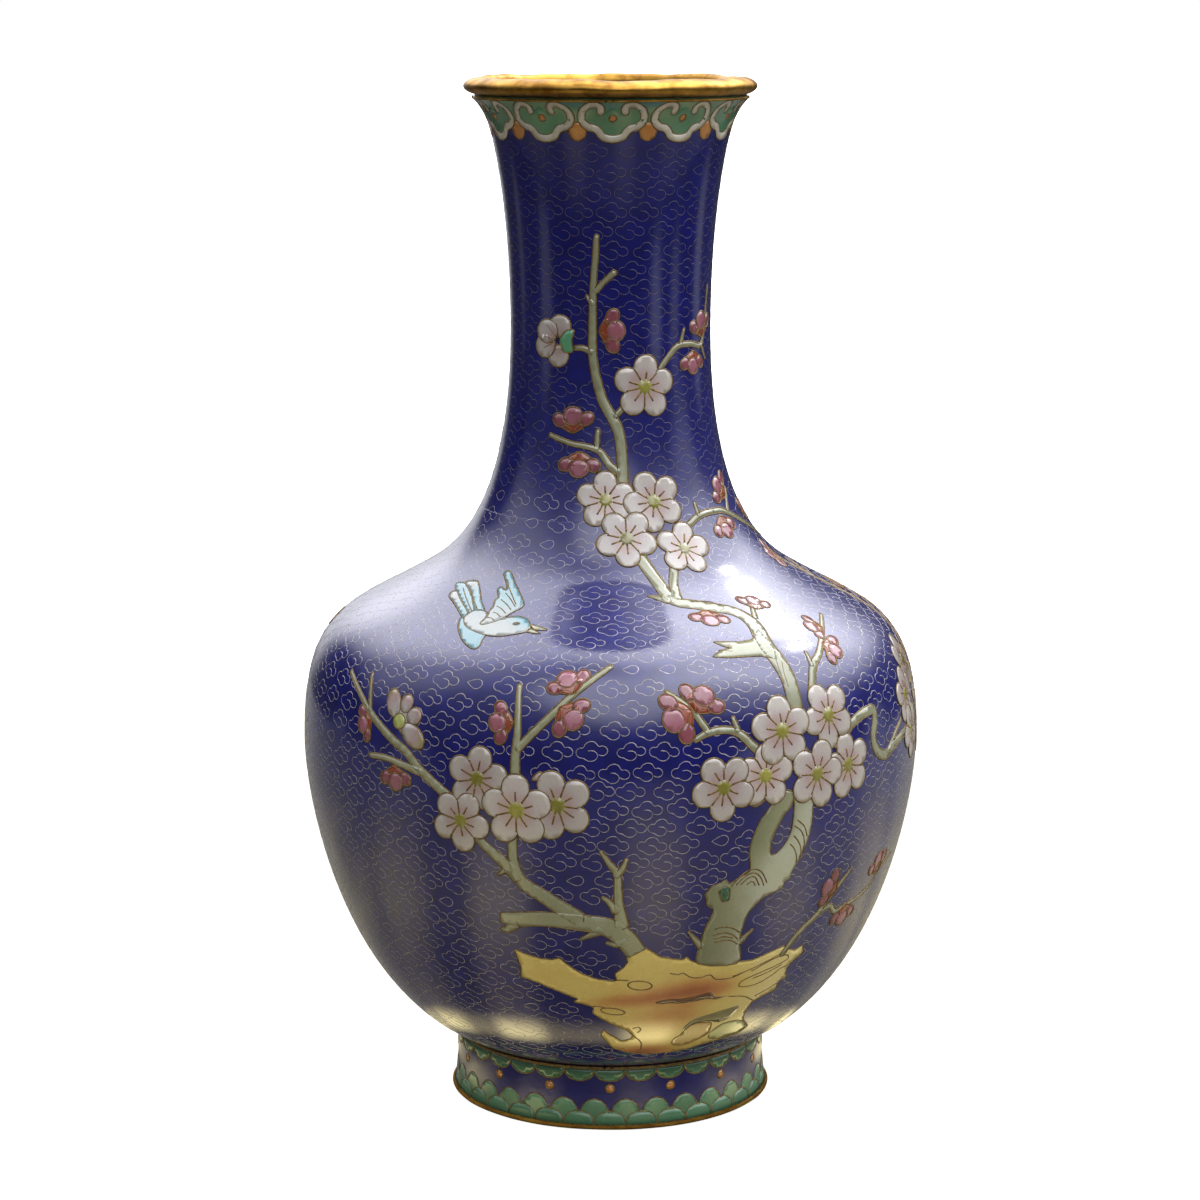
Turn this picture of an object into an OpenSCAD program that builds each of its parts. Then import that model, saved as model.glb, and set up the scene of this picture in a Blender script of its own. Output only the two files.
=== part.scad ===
// Cloisonne vase: copper body, gilt lip and foot rims, and enamel inlaid between wires.
// The axis is Z, the foot stands on Z = 0, and the front of the decoration faces -Y.
// Directions round the vase are azimuths in degrees: 0 at the front, positive to its right.

/* [Outline] */
// Height from the table to the top of the lip
vase_height = 254; // [250:1:260]
// Largest radius of the belly
belly_radius = 76.5; // [72:0.5:80]
// Height of the belly's widest ring
belly_height = 91; // [88:1:94]
// Radius where the shoulder turns into the neck
shoulder_radius = 47.5; // [46:0.5:49]
// Height where the shoulder turns into the neck
shoulder_height = 133; // [131:1:135]
// Smallest radius of the neck
waist_radius = 24.6; // [23:0.2:26]
// Height of the neck's narrowest ring
waist_height = 193.5; // [190:0.5:197]
// Radius of the mouth, where the neck runs into the lip ring
mouth_radius = 34.4; // [33:0.2:35]

/* [Foot] */
// Height of the foot up to the belly
foot_height = 16; // [14:0.5:18]
// Radius of the foot where it meets the belly
foot_top_radius = 38.7; // [37:0.1:40]
// Radius of the foot where it meets its rim
foot_low_radius = 39.9; // [39:0.1:41]
// Height of the gilt rim under the foot
foot_rim_height = 1.8; // [1.4:0.1:2.4]
// Width of the gilt rim's flat face on the table
foot_rim_width = 3.6; // [3:0.2:5]

/* [Walls] */
// Thickness of the copper body
copper = 1; // [0.8:0.1:1.4]
// Thickness of the enamel outside
enamel = 0.9; // [0.7:0.1:1.1]
// Thickness of the enamel lining
lining = 0.5; // [0.3:0.1:0.7]
// Height of the gilt lip ring
lip_ring_height = 5.2; // [5:0.1:5.6]
// Breadth of the gilt lip ring, from its inside to its outside
lip_ring_breadth = 4.8; // [4.6:0.1:5.2]

/* [Border] */
// Number of ruyi heads round the mouth
ruyi_count = 11; // [9:1:12]
// Height of the middle of the ruyi heads
ruyi_height = 242.6; // [242:0.1:243]

/* [Foot pattern] */
// Number of scales in each row round the foot
scale_count = 32; // [24:1:32]
// Breadth of the scales that hang from the foot's top edge
hanging_scale_breadth = 6; // [5:0.1:6.4]
// Breadth of the scales that rise from the foot's rim
rising_scale_breadth = 6.6; // [5:0.1:6.8]
// Diameter of the dots between the two rows
foot_dot = 1.6; // [1.2:0.1:2]

/* [Blossoms] */
// Radius of a white blossom
blossom_radius = 7.6; // [6.5:0.1:8]
// Share of a blossom's radius that its eye takes
eye_share = 0.24; // [0.18:0.01:0.3]
// Length of a pink bud
bud_length = 5; // [4:0.1:6]

/* [Hidden] */

fine = 96;
steps = 10;
last_step = 5 * steps;
reach = 5;
lip_edge_drop = 4.8;
cavetto = [5.1, 8.2];
lip_edge_height = vase_height - lip_edge_drop;

function toward(angle) = [cos(angle), sin(angle)];

// The outline is a chain of five cubic curves, each with its two ends and two handles.
foot_top = [foot_top_radius, foot_height];
belly = [belly_radius, belly_height];
shoulder = [shoulder_radius, shoulder_height];
waist = [waist_radius, waist_height];
lip_edge = [mouth_radius, lip_edge_height];
neck_flare = lip_edge - cavetto;
bowl_slope = toward(25);
shoulder_slope = toward(150);
neck_slope = toward(76);
lip_slope = toward(33);
curves = [
    [foot_top, foot_top + 32 * bowl_slope, belly - [0, 16], belly],
    [belly, belly + [0, 31.7], shoulder - 21.5 * shoulder_slope, shoulder],
    [shoulder, shoulder + 7.5 * shoulder_slope, waist - [0, 49], waist],
    [waist, waist + [0, 24], neck_flare - 8 * neck_slope, neck_flare],
    [neck_flare, neck_flare + 4 * neck_slope, lip_edge - 2.5 * lip_slope, lip_edge]
];

function curve_of(i) = curves[min(floor(i / steps), 4)];
function share_of(i) = i / steps - min(floor(i / steps), 4);
function bezier(c, t) =
    pow(1 - t, 3) * c[0] + 3 * t * pow(1 - t, 2) * c[1] + 3 * t * t * (1 - t) * c[2] + pow(t, 3) * c[3];
function slope(c, t) =
    pow(1 - t, 2) * (c[1] - c[0]) + 2 * t * (1 - t) * (c[2] - c[1]) + t * t * (c[3] - c[2]);

// A place on the outline: i counts steps from the foot's top edge, depth goes into the wall.
function along(i) = slope(curve_of(i), share_of(i)) / norm(slope(curve_of(i), share_of(i)));
function outward(i) = [along(i).y, -along(i).x];
function wall(i, depth) = bezier(curve_of(i), share_of(i)) - depth * outward(i);

// The step at a given height, found by halving the outline.
function step_at(z, low = 0, high = last_step, tries = 24) =
    tries == 0 ? (low + high) / 2 :
    wall((low + high) / 2, 0).y < z
        ? step_at(z, (low + high) / 2, high, tries - 1)
        : step_at(z, low, (low + high) / 2, tries - 1);

neck_seam = 2 * steps + 3;
belly_seam = steps;
lip_band_start = last_step - 2;
border_end = lip_band_start - 1;

// Bands of the wall, by their lowest and highest points, that hold each part of the decoration.
border_zone = [236, 249];
neck_flower_zone = [170, 203];
neck_bud_zone = [145, 220];
neck_twig_zone = [135, 220];
shoulder_flower_zone = [133, 165];
shoulder_branch_zone = [100, 146];
bird_zone = [118, 142];
right_flower_zone = [84, 117];
left_flower_zone = [75, 106];
back_flower_zone = [80, 124];
belly_zone = [45, 133];
trunk_zone = [40, 95];
rock_zone = [foot_height, 60];

function outside_line(from, to, depth) = [for (i = [from:to]) wall(i, depth)];
function inside_line(from, to, depth) = [for (i = [to:-1:from]) wall(i, depth)];

module turned(section) {
    rotate_extrude($fn = fine) polygon(section);
}

module skin(from, to, outer_depth, inner_depth) {
    turned(concat(outside_line(from, to, outer_depth), inside_line(from, to, inner_depth)));
}

module floored_skin(to, outer_depth, inner_depth) {
    turned(concat(
        [[0, wall(0, outer_depth).y]],
        outside_line(0, to, outer_depth),
        inside_line(0, to, inner_depth),
        [[0, wall(0, inner_depth).y]]
    ));
}

// Places a drawing on the enamel: x runs to the right, y runs up the wall, z points outward.
module on_wall(azimuth, height) {
    i = step_at(height);
    place = wall(i, 0);
    rotate([0, 0, azimuth])
        translate([0, -place.x, place.y])
            rotate([90 - atan2(outward(i).y, outward(i).x), 0, 0])
                children();
}

// A prism through the enamel, from the drawing under it.
module cut_through() {
    translate([0, 0, -reach]) linear_extrude(2 * reach) children();
}

// Flattens a point given as [azimuth, height] into the drawing plane at a centre of the same form.
function flat(centre, point) =
    let (
        i = step_at(centre.y),
        home = wall(i, 0),
        r = wall(step_at(point.y), 0).x,
        turn = point.x - centre.x
    )
    [r * sin(turn), (point.y - home.y) * along(i).y + (r * cos(turn) - home.x) * along(i).x];

function flat_all(centre, points) = [for (p = points) flat(centre, p)];

// The edge of a stem: route points are [azimuth, height, breadth], side is 1 for left, -1 for right.
function heading(q, i) =
    let (step = q[min(i + 1, len(q) - 1)] - q[max(i - 1, 0)])
    step / norm(step);
function edge_point(q, route, i, side) =
    q[i] + side * route[i][2] / 2 * [-heading(q, i).y, heading(q, i).x];
function stem_outline(q, route) = concat(
    [for (i = [0:len(q) - 1]) edge_point(q, route, i, 1)],
    [for (i = [len(q) - 1:-1:0]) edge_point(q, route, i, -1)]
);

// A stem through the enamel along its route.
module stem(route) {
    middle = route[floor(len(route) / 2)];
    centre = [middle[0], middle[1]];
    on_wall(centre.x, centre.y)
        cut_through() polygon(stem_outline(flat_all(centre, route), route));
}

// A closed shape through the enamel, drawn round its centre from [azimuth, height] points.
module patch(centre, points) {
    on_wall(centre.x, centre.y) cut_through() polygon(flat_all(centre, points));
}

// A five-lobed outline: the lobes are circles set round the middle.
petals = 5;
lobe_offset = 0.62;
lobe_radius = 0.38;
points_a_lobe = 6;
cell_sides = 12;
function lobe_angle(a) = a - 360 / petals * round(a * petals / 360);
function lobe_reach(a) =
    lobe_offset * cos(lobe_angle(a)) + sqrt(pow(lobe_radius, 2) - pow(lobe_offset * sin(lobe_angle(a)), 2));
function blossom_outline(radius, turn) = [
    for (k = [0:petals * points_a_lobe - 1])
        let (a = 360 * (k + 0.5) / (petals * points_a_lobe))
        radius * lobe_reach(a) * toward(a + turn)
];

// A blossom is [azimuth, height, scale, turn].
module blossom_cell(b) {
    on_wall(b[0], b[1]) cut_through() polygon(blossom_outline(blossom_radius * b[2], b[3]));
}

module eye_cell(b) {
    on_wall(b[0], b[1]) cut_through() circle(blossom_radius * b[2] * eye_share, $fn = cell_sides);
}

module blossom_cells(cluster) {
    for (b = cluster) blossom_cell(b);
}

module eye_cells(cluster) {
    for (b = cluster) eye_cell(b);
}

// The petals of a cluster, each blossom lying over the ones listed before it.
module petal_cells(cluster) {
    for (i = [0:len(cluster) - 1])
        difference() {
            blossom_cell(cluster[i]);
            eye_cell(cluster[i]);
            for (j = [i + 1:1:len(cluster) - 1]) blossom_cell(cluster[j]);
        }
}

// A bud is [azimuth, height, direction]: three petals that open in that direction.
bud_spread = 46;
bud_petal_offset = 0.58 * bud_length;
bud_petal_radius = 0.3 * bud_length;
module bud_cell(b) {
    on_wall(b[0], b[1])
        cut_through()
            for (side = [-1:1])
                rotate(b[2] + bud_spread * side)
                    translate([bud_petal_offset, 0]) circle(bud_petal_radius, $fn = cell_sides);
}

module bud_cells(buds) {
    for (b = buds) bud_cell(b);
}

// Enamel that fills the given prisms within a band of the wall.
module inlaid(zone) {
    intersection() {
        skin(floor(step_at(zone[0])), min(ceil(step_at(zone[1])), border_end), 0, enamel);
        children();
    }
}

neck_flowers = [[19, 181, 1, 50], [-33, 192, 0.85, 10]];
shoulder_flowers = [[-2, 154, 0.87, 20], [21, 154, 0.9, 40], [29, 143, 0.9, 5], [6, 145.5, 0.95, 60]];
right_flowers = [
    [47, 94.5, 0.8, 30], [28, 95.5, 0.85, 15], [43, 107, 0.92, 45],
    [20, 94, 0.92, 50], [32, 105.5, 0.95, 20], [38.5, 94, 1, 0]
];
left_flowers = [[-24, 95, 0.92, 10], [-9.5, 90.5, 0.98, 35], [-27, 85, 0.88, 60], [-16.5, 89, 1.05, 20]];
back_flowers = [
    [75, 104, 0.85, 30], [77, 114, 0.9, 10], [80, 95, 0.9, 50],
    [168, 104, 0.95, 25], [182, 98, 0.9, 50], [172, 92, 1, 5], [-120, 100, 0.9, 40], [-132, 94, 1, 15]
];
neck_bud_list = [
    [-5, 194, 0], [-20, 169, 95], [-16, 166, 270], [66, 192, 120], [54, 189, 270], [65, 153, 140]
];
belly_bud_list = [
    [41, 129, 70], [25, 131, 260], [51, 122, 110], [15, 110, 100], [-50, 106, 250], [-41, 94, 270],
    [-18, 109, 180], [-8, 116, 100], [-9, 110, 330], [47, 62, 150], [53, 56, 310], [64, 62, 90]
];

main_neck_twig = [
    [-7.5, 217, 1.2], [-9.5, 205, 1.4], [-10, 190, 1.8], [-5, 178.5, 2.1], [4, 170.5, 2.2], [6, 159, 2.4]
];
left_neck_twig = [[-33, 169, 1], [-21, 167, 1.2], [-7, 166, 1.4], [2, 162, 1.6]];
right_neck_twig = [[33, 187, 1.2], [41, 190, 1.2], [62, 190, 1.2], [67, 196, 1], [71, 203, 0.8]];
base_neck_twig = [[36, 148, 1.2], [43, 150, 1.2], [60, 150, 1.2], [75, 145, 1.2]];
shoulder_stem = [
    [14, 138, 2.4], [18, 133.5, 3], [25, 132, 3.4], [32, 130.5, 3.6],
    [36, 127, 4], [36, 119, 4.2], [36.5, 110, 4]
];
shoulder_stub = [[22, 124, 2], [29, 124, 2.6], [36, 123.5, 2.6]];
shoulder_twig = [[40, 112, 1.6], [42.5, 118, 1.5], [50, 123, 1.3], [58, 126.5, 1.2]];
left_stem = [[-58, 114, 1.4], [-50, 108, 1.6], [-41, 102, 1.8], [-33, 94.5, 2], [-28, 89, 2]];
left_upright = [[-16.5, 92, 1.6], [-16.5, 104, 1.4], [-17, 117, 1]];
left_slant = [[-16, 103, 1.3], [-8, 112, 1.2], [0, 121.5, 1]];
left_lower = [[-22, 81, 1.8], [-17, 71, 2], [-8, 64, 1.8], [-4, 62, 1.8]];
left_stub = [[-21, 61, 2.6], [-10, 62.5, 3], [-1, 61, 2.8], [3, 57, 2.6]];
side_stem = [[96, 60, 3], [92, 74, 3.4], [86, 84, 3], [80, 96, 2.6], [74, 108, 2]];
back_stem = [
    [-160, 56, 3.4], [-168, 70, 3.4], [-178, 82, 3], [172, 94, 2.4], [160, 112, 1.6], [150, 122, 1.2]
];
back_twig = [[-165, 66, 2], [-150, 78, 2.2], [-136, 90, 2], [-122, 100, 1.8], [-112, 112, 1.2]];
trunk_stem = [[22, 47, 9], [23, 58, 8.6], [25, 66, 9.4], [28.5, 73, 9.6]];
trunk_left_limb = [[27.5, 70, 7], [28, 80, 5], [30, 90, 4.2]];
trunk_right_limb = [[31, 69, 7], [36, 77, 5], [37.5, 90, 2.6]];
trunk_low_branch = [[39, 49, 1.6], [46, 57, 1.6], [52, 67, 1.2]];

rock_outline = [
    [-19, 53.5], [-13, 51.5], [-8, 49.8], [-1, 46.4], [3, 50], [3, 56], [5, 57], [10, 52.4], [15, 51.4],
    [21, 48.8], [37, 50.9], [44, 48.5], [41, 43], [41, 37.5], [31, 30], [27, 22.5], [14, 22], [2, 23.5],
    [-2, 29], [3, 27.5], [6, 29], [2, 33.5], [-4, 37], [-8, 39.3], [-14, 43.7], [-19, 46]
];
bird_body_outline = [
    [-14.5, 127.6], [-18, 129], [-21, 130], [-25, 130], [-31, 129], [-36.5, 129],
    [-37, 127.5], [-30, 125.6], [-22, 126], [-17, 127]
];
bird_wing_outline = [[-24, 130.6], [-27, 133.5], [-37, 137.5], [-35, 134], [-33, 132], [-32.5, 129.4]];
bird_far_wing_outline = [[-30, 125.4], [-30, 123.5], [-34, 124.4], [-38, 127]];
bird_tail_outline = [
    [-37.4, 129], [-42, 132], [-46.5, 134.3], [-51.5, 133.7], [-49, 131.7], [-42, 129], [-38, 127.6]
];

module belly_blossom_cells() {
    blossom_cells(right_flowers);
    blossom_cells(left_flowers);
    blossom_cells(back_flowers);
}

module neck_twig_cells() {
    stem(main_neck_twig);
    stem(left_neck_twig);
    stem(right_neck_twig);
    stem(base_neck_twig);
}

module shoulder_branch_cells() {
    stem(shoulder_stem);
    stem(shoulder_stub);
    stem(shoulder_twig);
}

module left_branch_cells() {
    stem(left_stem);
    stem(left_upright);
    stem(left_slant);
    stem(left_lower);
    stem(left_stub);
}

module back_branch_cells() {
    stem(side_stem);
    stem(back_stem);
    stem(back_twig);
}

module trunk_cells() {
    stem(trunk_stem);
    stem(trunk_left_limb);
    stem(trunk_right_limb);
    stem(trunk_low_branch);
}

module rock_cell() {
    patch([12, 40], rock_outline);
}

module bird_body_cell() {
    patch([-26, 128], bird_body_outline);
}

module bird_wing_cells() {
    patch([-30, 131], bird_wing_outline);
    patch([-34, 125], bird_far_wing_outline);
}

module bird_tail_cell() {
    patch([-44, 131], bird_tail_outline);
}

// Copper

foot_wall_top = wall(0, enamel).y;

// A place on the foot's outside, at a height and a depth into the wall.
function foot_radius(z) =
    foot_top_radius + (foot_low_radius - foot_top_radius) * pow(1 - z / foot_height, 4);
foot_levels = [0, 0.2, 0.5, 1];
function foot_side(depth, bottom, top) = [
    for (share = foot_levels)
        let (z = bottom + share * (top - bottom))
        [foot_radius(min(z, foot_height)) - depth, z]
];
function reversed(list) = [for (i = [len(list) - 1:-1:0]) list[i]];

module foot_skin(outer_depth, inner_depth, bottom, top) {
    turned(concat(
        foot_side(outer_depth, bottom, top),
        reversed(foot_side(inner_depth, bottom, top))
    ));
}

module copper_bowl() {
    color("peru") floored_skin(belly_seam, enamel, enamel + copper);
}

module copper_shoulder() {
    color("peru") skin(belly_seam, neck_seam, enamel, enamel + copper);
}

module copper_neck() {
    color("peru") skin(neck_seam, last_step, enamel, enamel + copper);
}

module copper_foot() {
    color("peru") foot_skin(enamel, enamel + copper, foot_rim_height, foot_wall_top);
}

// Gilt rings

lip_sides = 28;
lip_inset = 1.2;
lip_middle = [mouth_radius - lip_inset, vase_height - lip_ring_height / 2];
lip_section = [
    for (k = [0:lip_sides - 1])
        let (a = 360 * k / lip_sides)
        [lip_middle.x + lip_ring_breadth / 2 * cos(a), lip_middle.y + lip_ring_height / 2 * sin(a)]
];

module lip_ring() {
    color("goldenrod")
        difference() {
            turned(lip_section);
            skin(lip_band_start, last_step, 0, enamel + copper + lining);
        }
}

rim_round = 0.4;
rim_outer = foot_low_radius + rim_round;
rim_inner = rim_outer - rim_round - foot_rim_width;

module foot_rim() {
    color("goldenrod")
        turned([
            [rim_inner, 0],
            [rim_outer - rim_round, 0],
            [rim_outer, rim_round],
            [rim_outer, foot_rim_height - rim_round],
            [rim_outer - rim_round, foot_rim_height],
            [rim_inner, foot_rim_height]
        ]);
}

wire_height = 0.5;
lip_wire_rise = 0.15;
foot_wire_rise = 0.25;

module lip_wire() {
    color("goldenrod") skin(border_end, lip_band_start, -lip_wire_rise, enamel);
}

module belly_foot_wire() {
    color("goldenrod")
        turned([
            [foot_top_radius - enamel, foot_height - wire_height],
            [foot_top_radius + foot_wire_rise, foot_height - wire_height],
            [foot_top_radius + foot_wire_rise, foot_height],
            wall(0, 0),
            wall(0, enamel),
            [foot_top_radius - enamel, foot_wall_top]
        ]);
}

// Enamel lining inside

module neck_lining() {
    color("lightseagreen") skin(neck_seam, last_step, enamel + copper, enamel + copper + lining);
}

module shoulder_lining() {
    color("lightseagreen") skin(belly_seam, neck_seam, enamel + copper, enamel + copper + lining);
}

module bowl_lining() {
    color("lightseagreen") floored_skin(belly_seam, enamel + copper, enamel + copper + lining);
}

module foot_lining() {
    depth = enamel + copper;
    color("lightseagreen")
        turned(concat(
            foot_side(depth, foot_rim_height, foot_wall_top),
            [[0, foot_wall_top], [0, foot_wall_top - lining]],
            reversed(foot_side(depth + lining, foot_rim_height, foot_wall_top - lining))
        ));
}

// Enamel grounds

module lip_band() {
    color("mediumseagreen") skin(lip_band_start, last_step, 0, enamel);
}

module neck_ground() {
    color("midnightblue")
        difference() {
            skin(neck_seam, border_end, 0, enamel);
            ruyi_head_cells();
            ruyi_drop_cells();
            blossom_cells(neck_flowers);
            blossom_cells(shoulder_flowers);
            bud_cells(neck_bud_list);
            neck_twig_cells();
        }
}

module belly_ground() {
    color("midnightblue")
        difference() {
            skin(0, neck_seam, 0, enamel);
            blossom_cells(shoulder_flowers);
            belly_blossom_cells();
            bud_cells(belly_bud_list);
            neck_twig_cells();
            shoulder_branch_cells();
            left_branch_cells();
            back_branch_cells();
            trunk_cells();
            rock_cell();
            bird_body_cell();
            bird_wing_cells();
            bird_tail_cell();
        }
}

module foot_ground() {
    color("midnightblue")
        difference() {
            foot_skin(0, enamel, foot_rim_height, foot_height - wire_height);
            hanging_scale_cells();
            upper_scale_cells();
            lower_scale_cells();
            foot_dot_cells();
        }
}

// Ruyi border under the lip

module disc(radius) {
    polygon([for (k = [0:cell_sides - 1]) radius * toward(360 * k / cell_sides)]);
}

// A ruyi head: two side lobes, two top curls and a hanging tip, all drawn in by the same margin.
side_lobe = [4.5, 0.8];
side_lobe_radius = 3.3;
top_curl = [1.9, 2];
top_curl_radius = 2.7;
tip_drop = 0.6;
tip_radius = 3.6;
module ruyi_head(margin) {
    for (side = [-1, 1]) {
        translate([side * side_lobe.x, side_lobe.y]) disc(side_lobe_radius - margin);
        translate([side * top_curl.x, top_curl.y]) disc(top_curl_radius - margin);
    }
    translate([0, -tip_drop]) disc(tip_radius - margin);
}

module round_ruyi() {
    for (k = [0:ruyi_count - 1])
        on_wall(360 * k / ruyi_count, ruyi_height) cut_through() children();
}

outline_breadth = 1.3;
ruyi_dot_radius = 0.9;
ruyi_drop_radius = 1.3;
ruyi_drop_height = ruyi_height - 2.6;

module ruyi_head_cells() {
    round_ruyi() ruyi_head(0);
}

module ruyi_drop_cells() {
    for (k = [0:ruyi_count - 1])
        on_wall(360 * (k + 0.5) / ruyi_count, ruyi_drop_height) cut_through() disc(ruyi_drop_radius);
}

module ruyi_outlines() {
    color("ivory")
        inlaid(border_zone)
            difference() {
                ruyi_head_cells();
                round_ruyi() ruyi_head(outline_breadth);
            }
}

module ruyi_fills() {
    color("seagreen")
        inlaid(border_zone)
            difference() {
                round_ruyi() ruyi_head(outline_breadth);
                round_ruyi() disc(ruyi_dot_radius);
            }
}

module ruyi_dots() {
    color("chocolate") inlaid(border_zone) round_ruyi() disc(ruyi_dot_radius);
}

module ruyi_drops() {
    color("chocolate") inlaid(border_zone) ruyi_drop_cells();
}

// Scales and dots round the foot

module on_foot(azimuth, height) {
    rotate([0, 0, azimuth]) translate([0, -foot_radius(height), height]) rotate([90, 0, 0]) children();
}

half_disc_sides = 8;
module half_disc(breadth, rise) {
    polygon([
        for (k = [0:half_disc_sides])
            let (a = 180 * k / half_disc_sides)
            [breadth / 2 * cos(a), rise * sin(a)]
    ]);
}

hanging_top = foot_height - 0.9;
rising_bottom = foot_rim_height + 0.4;
dot_count = scale_count / 2;
scale_gap = 0.25;
hanging_scale_drop = 4;
lower_scale_rise = 2.8;
upper_scale_rise = 5.6;
foot_dot_share = 0.61;

module hanging_scale_cells() {
    for (k = [0:scale_count - 1])
        on_foot(360 * k / scale_count, hanging_top)
            cut_through() half_disc(hanging_scale_breadth, -hanging_scale_drop);
}

module lower_scale_cells() {
    for (k = [0:scale_count - 1])
        on_foot(360 * k / scale_count, rising_bottom)
            cut_through() half_disc(rising_scale_breadth, lower_scale_rise);
}

// The visible part of an upper scale: the lower row's neighbours cover its two feet.
module upper_scale() {
    half_pitch = foot_low_radius * sin(180 / scale_count);
    difference() {
        half_disc(rising_scale_breadth, upper_scale_rise);
        for (side = [-1, 1])
            translate([side * half_pitch, -scale_gap])
                half_disc(rising_scale_breadth + 2 * scale_gap, lower_scale_rise + 2 * scale_gap);
    }
}

module upper_scale_cells() {
    for (k = [0:scale_count - 1])
        on_foot(360 * (k + 0.5) / scale_count, rising_bottom) cut_through() upper_scale();
}

module foot_dot_cells() {
    for (k = [0:dot_count - 1])
        on_foot(360 * k / dot_count, foot_height * foot_dot_share) cut_through() disc(foot_dot / 2);
}

module inlaid_in_foot() {
    intersection() {
        foot_skin(0, enamel, foot_rim_height, foot_height - wire_height);
        children();
    }
}

module hanging_scales() {
    color("seagreen") inlaid_in_foot() hanging_scale_cells();
}

module lower_scales() {
    color("seagreen") inlaid_in_foot() lower_scale_cells();
}

module upper_scales() {
    color("darkseagreen") inlaid_in_foot() upper_scale_cells();
}

module foot_dots() {
    color("chocolate") inlaid_in_foot() foot_dot_cells();
}

// Blossoms and buds

module neck_blossoms() {
    color("white") inlaid(neck_flower_zone) petal_cells(neck_flowers);
}

module neck_eyes() {
    color("yellowgreen") inlaid(neck_flower_zone) eye_cells(neck_flowers);
}

module shoulder_blossoms() {
    color("white") inlaid(shoulder_flower_zone) petal_cells(shoulder_flowers);
}

module shoulder_eyes() {
    color("yellowgreen") inlaid(shoulder_flower_zone) eye_cells(shoulder_flowers);
}

module right_blossoms() {
    color("white") inlaid(right_flower_zone) petal_cells(right_flowers);
}

module right_eyes() {
    color("yellowgreen") inlaid(right_flower_zone) eye_cells(right_flowers);
}

module left_blossoms() {
    color("white") inlaid(left_flower_zone) petal_cells(left_flowers);
}

module left_eyes() {
    color("yellowgreen") inlaid(left_flower_zone) eye_cells(left_flowers);
}

module back_blossoms() {
    color("white") inlaid(back_flower_zone) petal_cells(back_flowers);
}

module back_eyes() {
    color("yellowgreen") inlaid(back_flower_zone) eye_cells(back_flowers);
}

module neck_buds() {
    color("palevioletred")
        inlaid(neck_bud_zone)
            difference() {
                bud_cells(neck_bud_list);
                blossom_cells(neck_flowers);
            }
}

module belly_buds() {
    color("palevioletred")
        inlaid(belly_zone)
            difference() {
                bud_cells(belly_bud_list);
                blossom_cells(shoulder_flowers);
                belly_blossom_cells();
            }
}

// Branches, rock and bird

module neck_twigs() {
    color("darkseagreen")
        inlaid(neck_twig_zone)
            difference() {
                neck_twig_cells();
                blossom_cells(neck_flowers);
                blossom_cells(shoulder_flowers);
                bud_cells(neck_bud_list);
            }
}

module shoulder_branch() {
    color("darkseagreen")
        inlaid(shoulder_branch_zone)
            difference() {
                shoulder_branch_cells();
                blossom_cells(shoulder_flowers);
                blossom_cells(right_flowers);
                bud_cells(belly_bud_list);
            }
}

module left_branch() {
    color("darkseagreen")
        inlaid(belly_zone)
            difference() {
                left_branch_cells();
                blossom_cells(left_flowers);
                bud_cells(belly_bud_list);
            }
}

module back_branch() {
    color("darkseagreen")
        inlaid(belly_zone)
            difference() {
                back_branch_cells();
                blossom_cells(back_flowers);
            }
}

module plum_trunk() {
    color("darkseagreen")
        inlaid(trunk_zone)
            difference() {
                trunk_cells();
                blossom_cells(right_flowers);
                bud_cells(belly_bud_list);
            }
}

module garden_rock() {
    color("darkgoldenrod")
        inlaid(rock_zone)
            difference() {
                rock_cell();
                trunk_cells();
                left_branch_cells();
            }
}

module bird_body() {
    color("powderblue") inlaid(bird_zone) bird_body_cell();
}

module bird_wings() {
    color("paleturquoise")
        inlaid(bird_zone)
            difference() {
                bird_wing_cells();
                bird_body_cell();
            }
}

module bird_tail() {
    color("azure")
        inlaid(bird_zone)
            difference() {
                bird_tail_cell();
                bird_body_cell();
                bird_wing_cells();
            }
}

copper_bowl();
copper_shoulder();
copper_neck();
copper_foot();
lip_ring();
foot_rim();
lip_wire();
belly_foot_wire();
neck_lining();
shoulder_lining();
bowl_lining();
foot_lining();
lip_band();
neck_ground();
belly_ground();
foot_ground();
ruyi_outlines();
ruyi_fills();
ruyi_dots();
ruyi_drops();
hanging_scales();
upper_scales();
lower_scales();
foot_dots();
neck_blossoms();
shoulder_blossoms();
right_blossoms();
left_blossoms();
back_blossoms();
neck_eyes();
shoulder_eyes();
right_eyes();
left_eyes();
back_eyes();
neck_buds();
belly_buds();
neck_twigs();
shoulder_branch();
left_branch();
back_branch();
plum_trunk();
garden_rock();
bird_body();
bird_wings();
bird_tail();
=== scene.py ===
"""A cloisonne vase: copper body, gilt rims, enamel cells and brass wires, in a soft-lit studio."""
import math
import random

import bpy
import numpy as np
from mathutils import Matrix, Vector
from mathutils.geometry import delaunay_2d_cdt


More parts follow.
